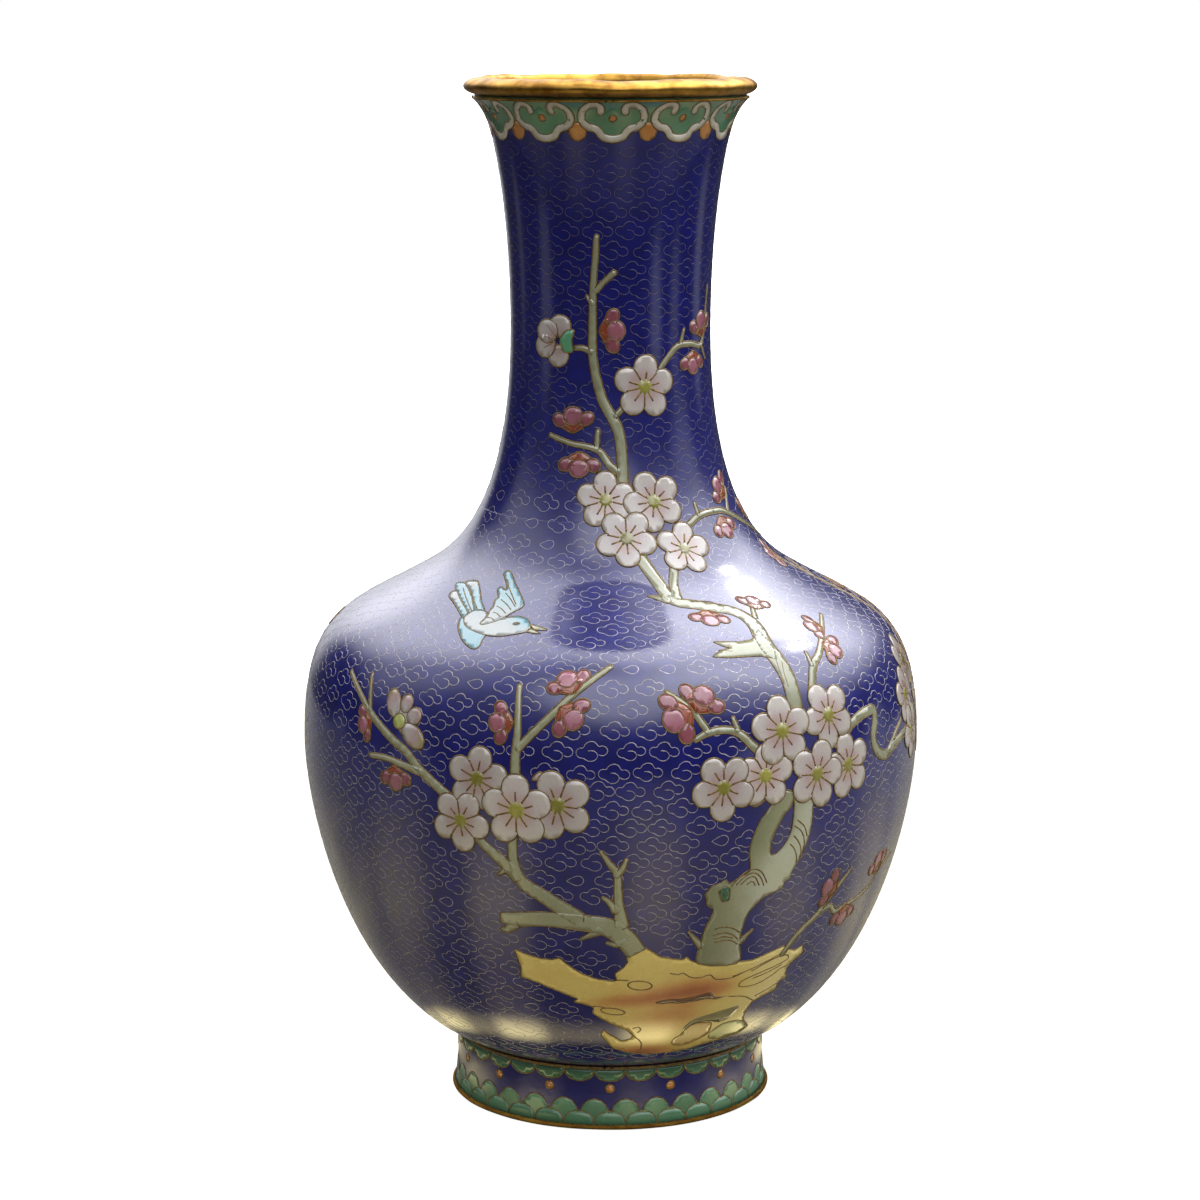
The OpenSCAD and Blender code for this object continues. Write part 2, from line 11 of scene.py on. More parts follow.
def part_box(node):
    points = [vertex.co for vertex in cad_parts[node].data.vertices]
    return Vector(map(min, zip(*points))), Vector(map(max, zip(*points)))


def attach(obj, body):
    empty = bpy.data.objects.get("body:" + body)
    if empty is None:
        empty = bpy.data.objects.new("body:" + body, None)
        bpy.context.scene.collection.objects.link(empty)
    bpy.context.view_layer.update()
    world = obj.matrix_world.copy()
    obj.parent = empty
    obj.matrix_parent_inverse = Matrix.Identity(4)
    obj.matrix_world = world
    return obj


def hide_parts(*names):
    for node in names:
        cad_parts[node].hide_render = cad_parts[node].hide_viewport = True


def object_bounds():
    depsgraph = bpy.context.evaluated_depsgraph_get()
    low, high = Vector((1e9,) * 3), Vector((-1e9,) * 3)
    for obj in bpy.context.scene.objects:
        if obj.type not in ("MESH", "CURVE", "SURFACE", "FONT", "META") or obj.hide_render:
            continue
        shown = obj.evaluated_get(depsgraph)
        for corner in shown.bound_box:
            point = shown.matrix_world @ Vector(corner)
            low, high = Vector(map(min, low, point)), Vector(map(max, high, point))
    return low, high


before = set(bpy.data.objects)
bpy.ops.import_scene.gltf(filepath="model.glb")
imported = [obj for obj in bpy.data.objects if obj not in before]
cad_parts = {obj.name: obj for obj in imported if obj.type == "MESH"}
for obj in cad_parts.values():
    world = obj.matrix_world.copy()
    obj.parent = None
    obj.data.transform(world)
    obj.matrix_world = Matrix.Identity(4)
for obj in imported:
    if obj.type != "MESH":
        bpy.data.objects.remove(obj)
cad_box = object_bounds()

# ---------------------------------------------------------------- sizes, in mm and degrees
MM = 0.001
HEIGHT = round(cad_box[1][2] / MM, 1)
BELLY_RADIUS = round(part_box("belly_ground")[1][0] / MM, 1)
FOOT_TOP = 16.0
RIM_TOP = round(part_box("foot_rim")[1][2] / MM, 1) - 0.6
ENAMEL = 0.9
COPPER = 1.0
LINING = 0.5
LIP_DROP = 4.8


def toward(angle):
    return np.array([math.cos(math.radians(angle)), math.sin(math.radians(angle))])


def bezier(ends, count):
    """Points along a cubic curve given by its two ends and two handles."""
    t = np.linspace(0, 1, count)[:, None]
    a, b, c, d = (np.array(p, float) for p in ends)
    return (1 - t) ** 3 * a + 3 * t * (1 - t) ** 2 * b + 3 * t * t * (1 - t) * c + t ** 3 * d


def outline():
    """Radius and height up the outside of the body, from the foot's top edge to the lip."""
    foot, belly = np.array([38.7, FOOT_TOP]), np.array([BELLY_RADIUS, 91.0])
    shoulder, waist = np.array([47.5, 133.0]), np.array([24.6, 193.5])
    lip = np.array([34.4, HEIGHT - LIP_DROP])
    flare = lip - [5.1, 8.2]
    slope = toward(150)
    curves = [
        (foot, foot + 32 * toward(25), belly - [0, 16], belly),
        (belly, belly + [0, 31.7], shoulder - 21.5 * slope, shoulder),
        (shoulder, shoulder + 7.5 * slope, waist - [0, 49], waist),
        (waist, waist + [0, 24], flare - 8 * toward(76), flare),
        (flare, flare + 4 * toward(76), lip - 2.5 * toward(33), lip),
    ]
    parts = [bezier(c, 160) for c in curves]
    return np.vstack([parts[0]] + [p[1:] for p in parts[1:]])


def foot_outline():
    """Radius and height up the outside of the foot."""
    z = np.linspace(0, FOOT_TOP, 120)
    return np.column_stack([38.7 + 1.2 * (1 - z / FOOT_TOP) ** 4, z])


class Wall:
    """An outside surface of revolution: run is the length up the outline, lift stands out from it."""

    def __init__(self, points):
        self.r, self.z = points.T
        steps = np.hypot(np.diff(self.r), np.diff(self.z))
        self.run = np.concatenate([[0], np.cumsum(steps)])
        up_r, up_z = np.gradient(self.r, self.run), np.gradient(self.z, self.run)
        size = np.hypot(up_r, up_z)
        self.out_r, self.out_z = up_z / size, -up_r / size

    def radius(self, run):
        return np.interp(run, self.run, self.r)

    def run_at(self, height):
        return np.interp(height, self.z, self.run)

    def section(self, runs, lift):
        """Radius and height at the given runs, moved out by lift."""
        r = np.interp(runs, self.run, self.r) + lift * np.interp(runs, self.run, self.out_r)
        z = np.interp(runs, self.run, self.z) + lift * np.interp(runs, self.run, self.out_z)
        return np.column_stack([r, z])

    def place(self, spots, lift):
        """Metres in space for an array of (azimuth, run), azimuth 0 being the front, -Y."""
        rz = self.section(spots[:, 1], lift)
        a = np.radians(spots[:, 0])
        return np.column_stack([rz[:, 0] * np.sin(a), -rz[:, 0] * np.cos(a), rz[:, 1]]) * MM

    def flat(self, spots, azimuth):
        """Lays (azimuth, run) out flat in mm round a middle azimuth."""
        turn = np.radians(spots[:, 0] - azimuth)
        return np.column_stack([turn * self.radius(spots[:, 1]), spots[:, 1]])

    def rolled(self, flat, azimuth):
        """Lays flat mm back on the wall as (azimuth, run)."""
        return np.column_stack([azimuth + np.degrees(flat[:, 0] / self.radius(flat[:, 1])), flat[:, 1]])


BODY = Wall(outline())
FOOT = Wall(foot_outline())
BODY_END = float(BODY.run[-1])


def run_of(height):
    """The run up the body at a height."""
    return float(BODY.run_at(height))


# ---------------------------------------------------------------- mesh making
class Heap:
    """Collects vertices, triangles and a two-number tag per vertex for one mesh."""

    def __init__(self):
        self.verts, self.tris, self.tags, self.smooth, self.count = [], [], [], [], 0

    def add(self, verts, tris, tags=(0.5, 0.5), flat_from=None):
        """Triangles from flat_from on are shaded flat, which keeps hidden sides out of the shading."""
        tags = np.asarray(tags, float)
        if tags.ndim == 1:
            tags = np.tile(tags, (len(verts), 1))
        tris = np.asarray(tris, int)
        smooth = np.ones(len(tris), bool)
        if flat_from is not None:
            smooth[flat_from:] = False
        self.verts.append(verts)
        self.tris.append(tris + self.count)
        self.tags.append(tags)
        self.smooth.append(smooth)
        self.count += len(verts)

    def build(self, name, material, slot, *nodes):
        """Makes the piece, which rides on the body and stands for the CAD nodes named."""
        verts, tris = np.vstack(self.verts), np.vstack(self.tris)
        tags, smooth = np.vstack(self.tags), np.concatenate(self.smooth)
        mesh = bpy.data.meshes.new(name)
        mesh.vertices.add(len(verts))
        mesh.vertices.foreach_set("co", verts.astype(np.float32).ravel())
        mesh.loops.add(3 * len(tris))
        mesh.loops.foreach_set("vertex_index", tris.astype(np.int32).ravel())
        mesh.polygons.add(len(tris))
        mesh.polygons.foreach_set("loop_start", np.arange(0, 3 * len(tris), 3, dtype=np.int32))
        mesh.polygons.foreach_set("use_smooth", smooth)
        mesh.update(calc_edges=True)
        colour = np.column_stack([tags, np.zeros(len(tags)), np.ones(len(tags))])
        layer = mesh.attributes.new("cell", "FLOAT_COLOR", "POINT")
        layer.data.foreach_set("color", colour.astype(np.float32).ravel())
        mesh.materials.append(material)
        piece = bpy.data.objects.new(name, mesh)
        bpy.context.scene.collection.objects.link(piece)
        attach(piece, "root")
        if nodes:
            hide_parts(*nodes)
        return piece


def grid_tris(rows, columns):
    """Triangles of a grid that closes on itself both ways."""
    i, j = np.meshgrid(np.arange(rows), np.arange(columns), indexing="ij")
    a, b = i * columns + j, i * columns + (j + 1) % columns
    c, d = (i + 1) % rows * columns + (j + 1) % columns, (i + 1) % rows * columns + j
    return np.concatenate([np.stack([a, b, c], -1).reshape(-1, 3), np.stack([a, c, d], -1).reshape(-1, 3)])


def turned(heap, section, segments=288, waver=None, capped=False, creases=()):
    """A section of (radius, height), up the outside and down the inside, swept round the axis.

    A capped section starts and ends on the axis. A waver gives the small unevenness of hand work.
    The bands of faces that start at the creases, which close a skin's ends, are shaded flat.
    """
    a = np.linspace(0, 2 * math.pi, segments, endpoint=False)
    rings = section[1:-1] if capped else section
    r = np.repeat(rings[:, 0:1], segments, axis=1)
    z = np.repeat(rings[:, 1:2], segments, axis=1)
    if waver is not None:
        dr, dz = waver(a[None, :], rings)
        r, z = r + dr, z + dz
    verts = np.stack([r * np.sin(a), -r * np.cos(a), z], -1).reshape(-1, 3)
    tris = grid_tris(len(rings), segments)
    band = np.tile(np.repeat(np.arange(len(rings)), segments), 2)
    flat = np.isin(band, creases)
    if capped:
        last = (len(rings) - 1) * segments
        closing = band == len(rings) - 1
        j = np.arange(segments)
        k = (j + 1) % segments
        first_end = np.stack([np.full(segments, len(verts)), k, j], -1)
        last_end = np.stack([np.full(segments, len(verts) + 1), last + j, last + k], -1)
        tris = np.vstack([tris[~closing], first_end, last_end])
        flat = np.concatenate([flat[~closing], np.zeros(2 * segments, bool)])
        verts = np.vstack([verts, [[0, 0, section[0, 1]], [0, 0, section[-1, 1]]]])
    heap.add(verts * MM, np.vstack([tris[~flat], tris[flat]]), flat_from=int((~flat).sum()))


def spline(points, per=6, closed=False):
    """A smooth line through the points, with per steps between each pair."""
    p = np.array(points, float)
    before = p[-1:] if closed else 2 * p[:1] - p[1:2]
    after = p[:2] if closed else 2 * p[-1:] - p[-2:-1]
    q = np.vstack([before, p, after])
    t = np.linspace(0, 1, per, endpoint=False)[:, None]
    out = []
    for i in range(len(p) if closed else len(p) - 1):
        a, b, c, d = q[i], q[i + 1], q[i + 2], q[i + 3]
        out.append(0.5 * (2 * b + (c - a) * t + (2 * a - 5 * b + 4 * c - d) * t ** 2
                          + (3 * b - a - 3 * c + d) * t ** 3))
    if not closed:
        out.append(p[-1:])
    return np.vstack(out)


def resampled(path, step, closed=False):
    """The same line with points an even step apart."""
    if closed:
        path = np.vstack([path, path[:1]])
    length = np.concatenate([[0], np.cumsum(np.hypot(*np.diff(path[:, :2], axis=0).T))])
    count = max(2, int(round(length[-1] / step)) + 1)
    at = np.linspace(0, length[-1], count)
    out = np.column_stack([np.interp(at, length, path[:, k]) for k in range(path.shape[1])])
    return out[:-1] if closed else out


def ellipse(x, y, rx, ry=None, turn=0.0, count=28):
    """A flat ellipse round (x, y)."""
    a = np.linspace(0, 2 * math.pi, count, endpoint=False)
    ry = rx if ry is None else ry
    c, s = toward(turn)
    u, v = rx * np.cos(a), ry * np.sin(a)
    return np.column_stack([x + c * u - s * v, y + s * u + c * v])


def inside(polygon, points):
    """Which points lie inside a closed polygon."""
    x, y = points[:, 0:1], points[:, 1:2]
    x1, y1 = polygon.T
    x2, y2 = np.roll(polygon, -1, axis=0).T
    crosses = (y1 > y) != (y2 > y)
    rise = np.where(y2 == y1, 1e-9, y2 - y1)
    return (crosses & (x < (x2 - x1) * (y - y1) / rise + x1)).sum(axis=1) % 2 == 1


# ---------------------------------------------------------------- cells and wires
WIRE_BREADTH = 0.46
WIRE_RISE = 0.07
WIRE_SUNK = 0.06
CELL_LIFT = 0.03
LEVEL_STEP = 0.01
CELL_DEPTH = 0.3
GRID_STEP = 1.2
GRID_GAP = 0.4
OUTLINE_STEP = 0.7

rng = random.Random(7)
cells = []
lines = []


def lift_of(level):
    return CELL_LIFT + LEVEL_STEP * level


class Cell:
    """One enamel cell: a closed outline on a wall, the piece it belongs to, and how high it lies."""

    def __init__(self, wall, spots, piece, level, group=None, tag=(0.5, 0.5), wired=True):
        self.wall, self.spots, self.piece, self.level = wall, spots, piece, level
        self.group, self.tag, self.wired = group, tag, wired
        self.middle = float(spots[:, 0].mean())
        self.flat = wall.flat(spots, self.middle)
        self.low, self.high = self.flat.min(axis=0), self.flat.max(axis=0)
        cells.append(self)

    def covers(self, spots):
        """Which (azimuth, run) spots lie inside this cell."""
        turn = (spots[:, 0] - self.middle + 180) % 360 - 180
        flat = np.column_stack([np.radians(turn) * self.wall.radius(spots[:, 1]), spots[:, 1]])
        near = ((flat > self.low) & (flat < self.high)).all(axis=1)
        result = np.zeros(len(spots), bool)
        if near.any():
            result[near] = inside(self.flat, flat[near])
        return result


def rooted(spot, flat):
    """A flat drawing in mm round (azimuth, height), laid on the body as (azimuth, run)."""
    azimuth, height = spot
    return BODY.rolled(np.asarray(flat, float) + [0, run_of(height)], azimuth)


def cell_at(spot, flat, piece, level, tag=(0.5, 0.5), wired=True):
    """A cell drawn flat round a spot on the body."""
    return Cell(BODY, rooted(spot, flat), piece, level, tag=tag, wired=wired)


def wire_at(spot, flat, level, breadth, zone):
    """A loose wire drawn flat round a spot on the body."""
    lines.append((rooted(spot, flat), level, breadth, zone))


def tagged(shade, tone=0.5):
    """Vertex tags: how far along its enamel's colour ramp, and the cell's own tone."""
    return np.column_stack([shade, np.full(len(shade), tone)])


def heights_of(spots):
    """Heights on the body of (azimuth, run) spots."""
    return np.interp(spots[:, 1], BODY.run, BODY.z)


def distance_shade(spot, reach, tone, shift=(0, 0), start=0.0, sign=1):
    """A tag that changes from start at a spot, moved by shift in mm, by 1 over its reach."""
    azimuth, height = spot
    middle = [shift[0], run_of(height) + shift[1]]

    def shade(spots):
        return tagged(start + sign * np.hypot(*(BODY.flat(spots, azimuth) - middle).T) / reach, tone)
    return shade


def laid_flat(points, azimuth):
    """[azimuth, height] points on the body as flat mm round a middle azimuth."""
    p = np.array(points, float)
    spots = np.column_stack([p[:, 0], BODY.run_at(p[:, 1])])
    flat = BODY.flat(spots, azimuth)
    return np.column_stack([flat, p[:, 2:]])


def split_runs(covered):
    """Start and end of each stretch that isn't covered."""
    edges = np.flatnonzero(np.diff(np.concatenate([[1], covered.astype(int), [1]])))
    return list(zip(edges[::2], edges[1::2]))


def hidden_by(wall, spots, level, group, own):
    """Which spots a higher cell, or another cell of the same group, covers."""
    covered = np.zeros(len(spots), bool)
    for cell in cells:
        if cell is own or cell.wall is not wall:
            continue
        if cell.level > level or (group is not None and cell.group == group):
            covered |= cell.covers(spots)
    return covered


def ribbon(heap, wall, spots, breadth, low, rise, closed=False):
    """A raised wire with a ridge along its middle, from a little under the enamel to rise."""
    r = wall.radius(spots[:, 1])[:, None]
    metric = np.column_stack([np.radians(spots[:, 0]), spots[:, 1]])
    if closed:
        step = np.roll(metric, -1, axis=0) - np.roll(metric, 1, axis=0)
    else:
        step = np.gradient(metric, axis=0)
    step[:, 0:1] *= r
    step /= np.maximum(np.hypot(step[:, 0], step[:, 1]), 1e-9)[:, None]
    side = np.column_stack([-np.degrees(step[:, 1:2] / r), step[:, 0]]) * breadth / 2
    left = wall.place(spots + side, low)
    top = wall.place(spots, rise)
    right = wall.place(spots - side, low)
    n = len(spots)
    verts = np.stack([left, top, right], 1).reshape(-1, 3)
    i = np.arange(n if closed else n - 1)
    j = (i + 1) % n
    tris = []
    for a, b in ((0, 1), (1, 2), (2, 0)):
        tris.append(np.stack([3 * i + a, 3 * i + b, 3 * j + b], -1))
        tris.append(np.stack([3 * i + a, 3 * j + b, 3 * j + a], -1))
    tris = np.vstack(tris)
    if not closed:
        e = 3 * (n - 1)
        tris = np.vstack([tris, [[0, 2, 1], [e, e + 1, e + 2]]])
    heap.add(verts, tris, flat_from=4 * len(i))


def lay_wire(heap, wall, spots, level, group=None, own=None, breadth=WIRE_BREADTH, closed=True):
    """A wire along a line, left out where the decoration over it hides it."""
    covered = hidden_by(wall, spots, level, group, own)
    low, rise = lift_of(level) - WIRE_SUNK, lift_of(level) + WIRE_RISE
    if closed and not covered.any():
        ribbon(heap, wall, spots, breadth, low, rise, closed=True)
        return
    if closed and covered.any():
        start = int(np.flatnonzero(covered)[0])
        spots, covered = np.roll(spots, -start, axis=0), np.roll(covered, -start)
    for a, b in split_runs(covered):
        if b - a > 1:
            ribbon(heap, wall, spots[max(a - 1, 0):b + 1], breadth, low, rise)


def fill_cell(heap, cell):
    """A closed enamel slab in the cell's outline, following the wall's curve."""
    flat, low, high = cell.flat, cell.low, cell.high
    xs = np.arange(low[0] + GRID_STEP / 2, high[0], GRID_STEP)
    ys = np.arange(low[1] + GRID_STEP / 2, high[1], GRID_STEP)
    grid = np.array([(x + (k % 2) * GRID_STEP / 2, y) for k, y in enumerate(ys) for x in xs]).reshape(-1, 2)
    grid = grid[inside(flat, grid)] if len(grid) else grid
    if len(grid):
        gap = np.hypot(*(grid[:, None, :] - flat[None, :, :]).transpose(2, 0, 1)).min(axis=1)
        grid = grid[gap > GRID_STEP * GRID_GAP]
    points = [Vector(p) for p in np.vstack([flat, grid])]
    result = delaunay_2d_cdt(points, [], [list(range(len(flat)))], 1, 1e-6)
    where = np.array([tuple(v) for v in result[0]])
    tris = np.array([f for f in result[2] if len(f) == 3], int)
    if not len(tris):
        return
    a, b, c = where[tris[:, 0]], where[tris[:, 1]], where[tris[:, 2]]
    area = (b[:, 0] - a[:, 0]) * (c[:, 1] - a[:, 1]) - (b[:, 1] - a[:, 1]) * (c[:, 0] - a[:, 0])
    tris[area < 0] = tris[area < 0][:, ::-1]
    spots = cell.wall.rolled(where, cell.middle)
    top = cell.wall.place(spots, lift_of(cell.level))
    bottom = cell.wall.place(spots, -CELL_DEPTH)
    n = len(where)
    edges = np.vstack([tris[:, [0, 1]], tris[:, [1, 2]], tris[:, [2, 0]]]).tolist()
    seen = {tuple(e) for e in edges}
    rim = np.array([e for e in edges if (e[1], e[0]) not in seen])
    a, b = rim[:, 0], rim[:, 1]
    sides = np.vstack([np.stack([a, a + n, b + n], -1), np.stack([a, b + n, b], -1)])
    tags = cell.tag(spots) if callable(cell.tag) else np.tile(cell.tag, (n, 1))
    heap.add(np.vstack([top, bottom]), np.vstack([tris, sides, tris[:, ::-1] + n]),
             np.vstack([tags, tags]), flat_from=len(tris))


# ---------------------------------------------------------------- the drawing of each motif
PETALS = 5
LOBE_OFFSET, LOBE_RADIUS, REACH_LIMIT = 0.62, 0.395, 1.01
STAR_TIP, STAR_NOTCH = 0.33, 0.17
STAMEN_START, LONG_STAMEN, SHORT_STAMEN = 0.26, 0.64, 0.54
NOTCH_START, NOTCH_END = 0.58, 0.74
STAMEN_BREADTH, FINE_BREADTH = 0.74, 0.4
STAR_SWAY = 5
STAMEN_SPREAD = (0.92, 1.08)


def blossom(spot, radius, turn, level, zone):
    """A five-petalled plum blossom: a yellow-green starred eye, stamens, and notches between petals."""
    tone = rng.random()
    petal, half = 360 / PETALS, 180 / PETALS
    angles = np.arange(0, 360, 4)
    lobes = np.radians((angles + half) % petal - half)
    reach = LOBE_OFFSET * np.cos(lobes) + np.sqrt(LOBE_RADIUS ** 2 - (LOBE_OFFSET * np.sin(lobes)) ** 2)
    reach = np.minimum(reach, REACH_LIMIT)
    line = radius * reach[:, None] * np.array([toward(a + turn) for a in angles])
    cell_at(spot, line, zone + "_petals", level, tag=distance_shade(spot, radius, tone))
    ways = [toward(turn + half * k + rng.uniform(-STAR_SWAY, STAR_SWAY)) for k in range(2 * PETALS)]
    between = [toward(turn + half * k + half / 2) for k in range(2 * PETALS)]
    star = [p for out, back in zip(ways, between)
            for p in (STAR_TIP * radius * out, STAR_NOTCH * radius * back)]
    cell_at(spot, np.array(star), zone + "_hearts", level + 0.5, tag=(tone, tone), wired=False)
    for k, way in enumerate(ways):
        far = (LONG_STAMEN if k % 2 else SHORT_STAMEN) * radius * rng.uniform(*STAMEN_SPREAD)
        stamen = np.array([STAMEN_START * radius * way, far * way])
        wire_at(spot, resampled(stamen, 0.6), level + 0.5, STAMEN_BREADTH, zone)
    for k in range(PETALS):
        way = toward(turn + half + petal * k)
        notch = np.array([NOTCH_START * radius * way, NOTCH_END * radius * way])
        wire_at(spot, resampled(notch, 0.5), level + 0.5, FINE_BREADTH, zone)


BUD_LEVEL = 6


def bud(spot, direction, zone, size=1.0):
    """A pink bud beside its twig: a rust-red calyx, a round main petal and a petal on each side."""
    area = "neck" if zone == "neck" else "belly"
    tone = rng.random()

    def on(way, across):
        return size * (way * toward(direction) + across * toward(direction + 90))

    edge = [(0.1, 1.5), (1.2, 3.0), (2.8, 2.6)]
    fan = [on(-0.5, 0), *(on(x, y) for x, y in edge), on(3.2, 0), *(on(x, -y) for x, y in edge[::-1])]
    cell_at(spot, spline(fan, 4, closed=True), area + "_calyxes", BUD_LEVEL - 0.4, tag=(0.5, tone))
    for side in (-1, 1):
        petal = ellipse(*on(2.7, 3.4 * side), 2.0 * size, 1.6 * size, direction + 62 * side, 22)
        cell_at(spot, petal, area + "_bud_petals", BUD_LEVEL, tag=(0.3, tone))
    main = ellipse(*on(3.6, 0), 2.2 * size, 2.45 * size, direction, 26)
    cell_at(spot, main, area + "_bud_petals", BUD_LEVEL + 0.4, tag=(0.7, tone))
    for side in (-1, 1):
        sepal = spline([on(-0.3, 0.2 * side), on(0.9, 0.9 * side), on(1.5, 2.3 * side)], 4)
        wire_at(spot, sepal, BUD_LEVEL + 0.5, FINE_BREADTH, area)


def buds(zone, *rows):
    """Buds from rows of azimuth, height, direction and size."""
    for azimuth, height, direction, size in rows:
        bud((azimuth, height), direction, zone, size)


def blossoms(zone, *rows):
    """Blossoms from rows of azimuth, height, radius, turn and level."""
    for azimuth, height, radius, turn, level in rows:
        blossom((azimuth, height), radius, turn, level, zone)


def stem(route, zone, level=3, blunt=0.5, smooth=5):
    """A twig or branch along [azimuth, height, breadth] points, with blunt ends."""
    middle = float(np.mean([p[0] for p in route]))
    path = resampled(spline(laid_flat(route, middle), smooth), OUTLINE_STEP)
    ahead = np.gradient(path[:, :2], axis=0)
    ahead /= np.hypot(*ahead.T)[:, None]
    normal = np.column_stack([-ahead[:, 1], ahead[:, 0]])
    half = path[:, 2:3] / 2
    left, right = path[:, :2] + half * normal, path[:, :2] - half * normal
    tip = path[-1:, :2] + blunt * half[-1] * ahead[-1]
    tail = path[:1, :2] - blunt * half[0] * ahead[0]
    line = np.vstack([tail, left, tip, right[::-1]])
    Cell(BODY, BODY.rolled(line, middle), zone + "_stems", level, (zone, "stem"), (0.5, rng.random()))


def stems(zone, *routes):
    for route in routes:
        stem(route, zone)


def patch(points, piece, level, tag=(0.5, 0.5), group=None, smooth=0, wired=True):
    """A closed cell through [azimuth, height] points."""
    middle = float(np.mean([p[0] for p in points]))
    flat = laid_flat(points, middle)
    flat = spline(flat, smooth, closed=True) if smooth else flat
    line = resampled(flat, OUTLINE_STEP, closed=True)
    return Cell(BODY, BODY.rolled(line, middle), piece, level, group, tag, wired)


def stroke(points, zone, level, breadth=0.34, smooth=6):
    """A loose wire through [azimuth, height] points, lying inside a cell."""
    middle = float(np.mean([p[0] for p in points]))
    line = resampled(spline(laid_flat(points, middle), smooth), OUTLINE_STEP)
    lines.append((BODY.rolled(line, middle), level, breadth, zone))


# ---------------------------------------------------------------- branches, as [azimuth, height, breadth]
def neck_spray():
    """The sprig on the front of the neck, with the wide blossoms at its root."""
    zone = "neck"
    stems(zone,
          [[-7.5, 217, 1.1], [-8.2, 212, 1.4], [-9.6, 204.4, 1.5], [-10, 195, 1.8], [-9.9, 189, 1.9],
           [-8.3, 184, 2.0], [-4.5, 178, 2.2], [0.3, 174, 2.3], [4.2, 170.4, 2.4], [5.7, 165.4, 2.4],
           [6, 157, 2.6]],
          [[-8.5, 203.5, 1.4], [-3, 206.2, 1.1], [2.6, 208.3, 1.4]],
          [[-9.6, 200.5, 1.3], [-13.5, 202.6, 0.5]],
          [[2.0, 173.8, 1.3], [8.8, 176.5, 1.2], [13, 177.5, 1.0]],
          [[-33.6, 169, 0.9], [-21.5, 167.3, 1.1], [-7, 166, 1.3], [-0.4, 162.4, 1.6], [4, 160.6, 1.6]],
          [[-6.6, 170.6, 0.9], [-7, 166, 1.3]],
          [[-9.9, 189, 1.4], [-15, 190, 1.2], [-20.3, 190, 1.0]],
          [[26, 183.5, 1.1], [33, 187, 1.2], [41, 190, 1.3], [52, 190.2, 1.2], [63, 189.7, 1.2],
           [68, 196, 1.0], [71.5, 203.5, 0.7]],
          [[43, 190.3, 1.2], [46, 194, 0.6]],
          [[63, 189.7, 1.1], [68, 186, 0.6]],
          [[34, 147.5, 1.3], [42.7, 149.6, 1.4], [52.4, 150, 1.4], [60.7, 149.4, 1.4], [76, 145.5, 1.3],
           [92, 141, 1.0]],
          [[42, 149.5, 1.2], [41.4, 152.8, 0.6]],
          [[63, 149.2, 1.2], [70, 154.4, 0.8]])
    buds(zone, (-5.2, 194.2, 0, 1.0), (-20, 170.2, 95, 1.0), (-15.8, 164.9, 270, 1.0), (64, 192, 100, 1.0),
         (53.6, 188, 270, 0.9), (66, 153, 130, 0.95), (55, 148.2, 280, 0.95), (84, 146, 60, 0.95))
    half_blossom((-32.8, 191.7))
    blossom((19.2, 180.7), 7.6, 14, 8, zone)
    blossoms("shoulder", (-2.2, 154.2, 7.0, 20, 8), (20.2, 153.6, 7.5, 40, 9), (29.5, 142.7, 7.0, 5, 10),
             (6.5, 145.5, 7.4, 55, 11))


def half_blossom(spot):
    """A blossom seen from its side, three petals and a green sepal."""
    shade = distance_shade(spot, 7.0, rng.random(), shift=(1.4, -0.2))
    for x, y, r, level in ((1.5, 3.4, 2.9, 8), (1.0, -3.8, 2.8, 8), (-2.8, -1.6, 3.0, 8.3),
                           (-2.2, 2.0, 3.1, 8.6)):
        cell_at(spot, ellipse(x, y, r, r * 0.93), "neck_petals", level, tag=shade)
    sepal = spline([[1.4, 0.2], [3.2, 2.4], [5.2, 2.4], [4.6, 0], [4.9, -2.6], [2.6, -2.8], [1.8, -1.4]], 4,
                   closed=True)
    cell_at(spot, sepal, "neck_leaves", 9)
    for a, far in ((100, 3.4), (135, 4.2), (170, 3.6), (205, 4.2), (240, 3.4)):
        start = np.array([1.2, 0]) + 0.8 * toward(a)
        line = np.array([start, start + far * toward(a)])
        wire_at(spot, resampled(line, 0.6), 9, 0.3, "neck")


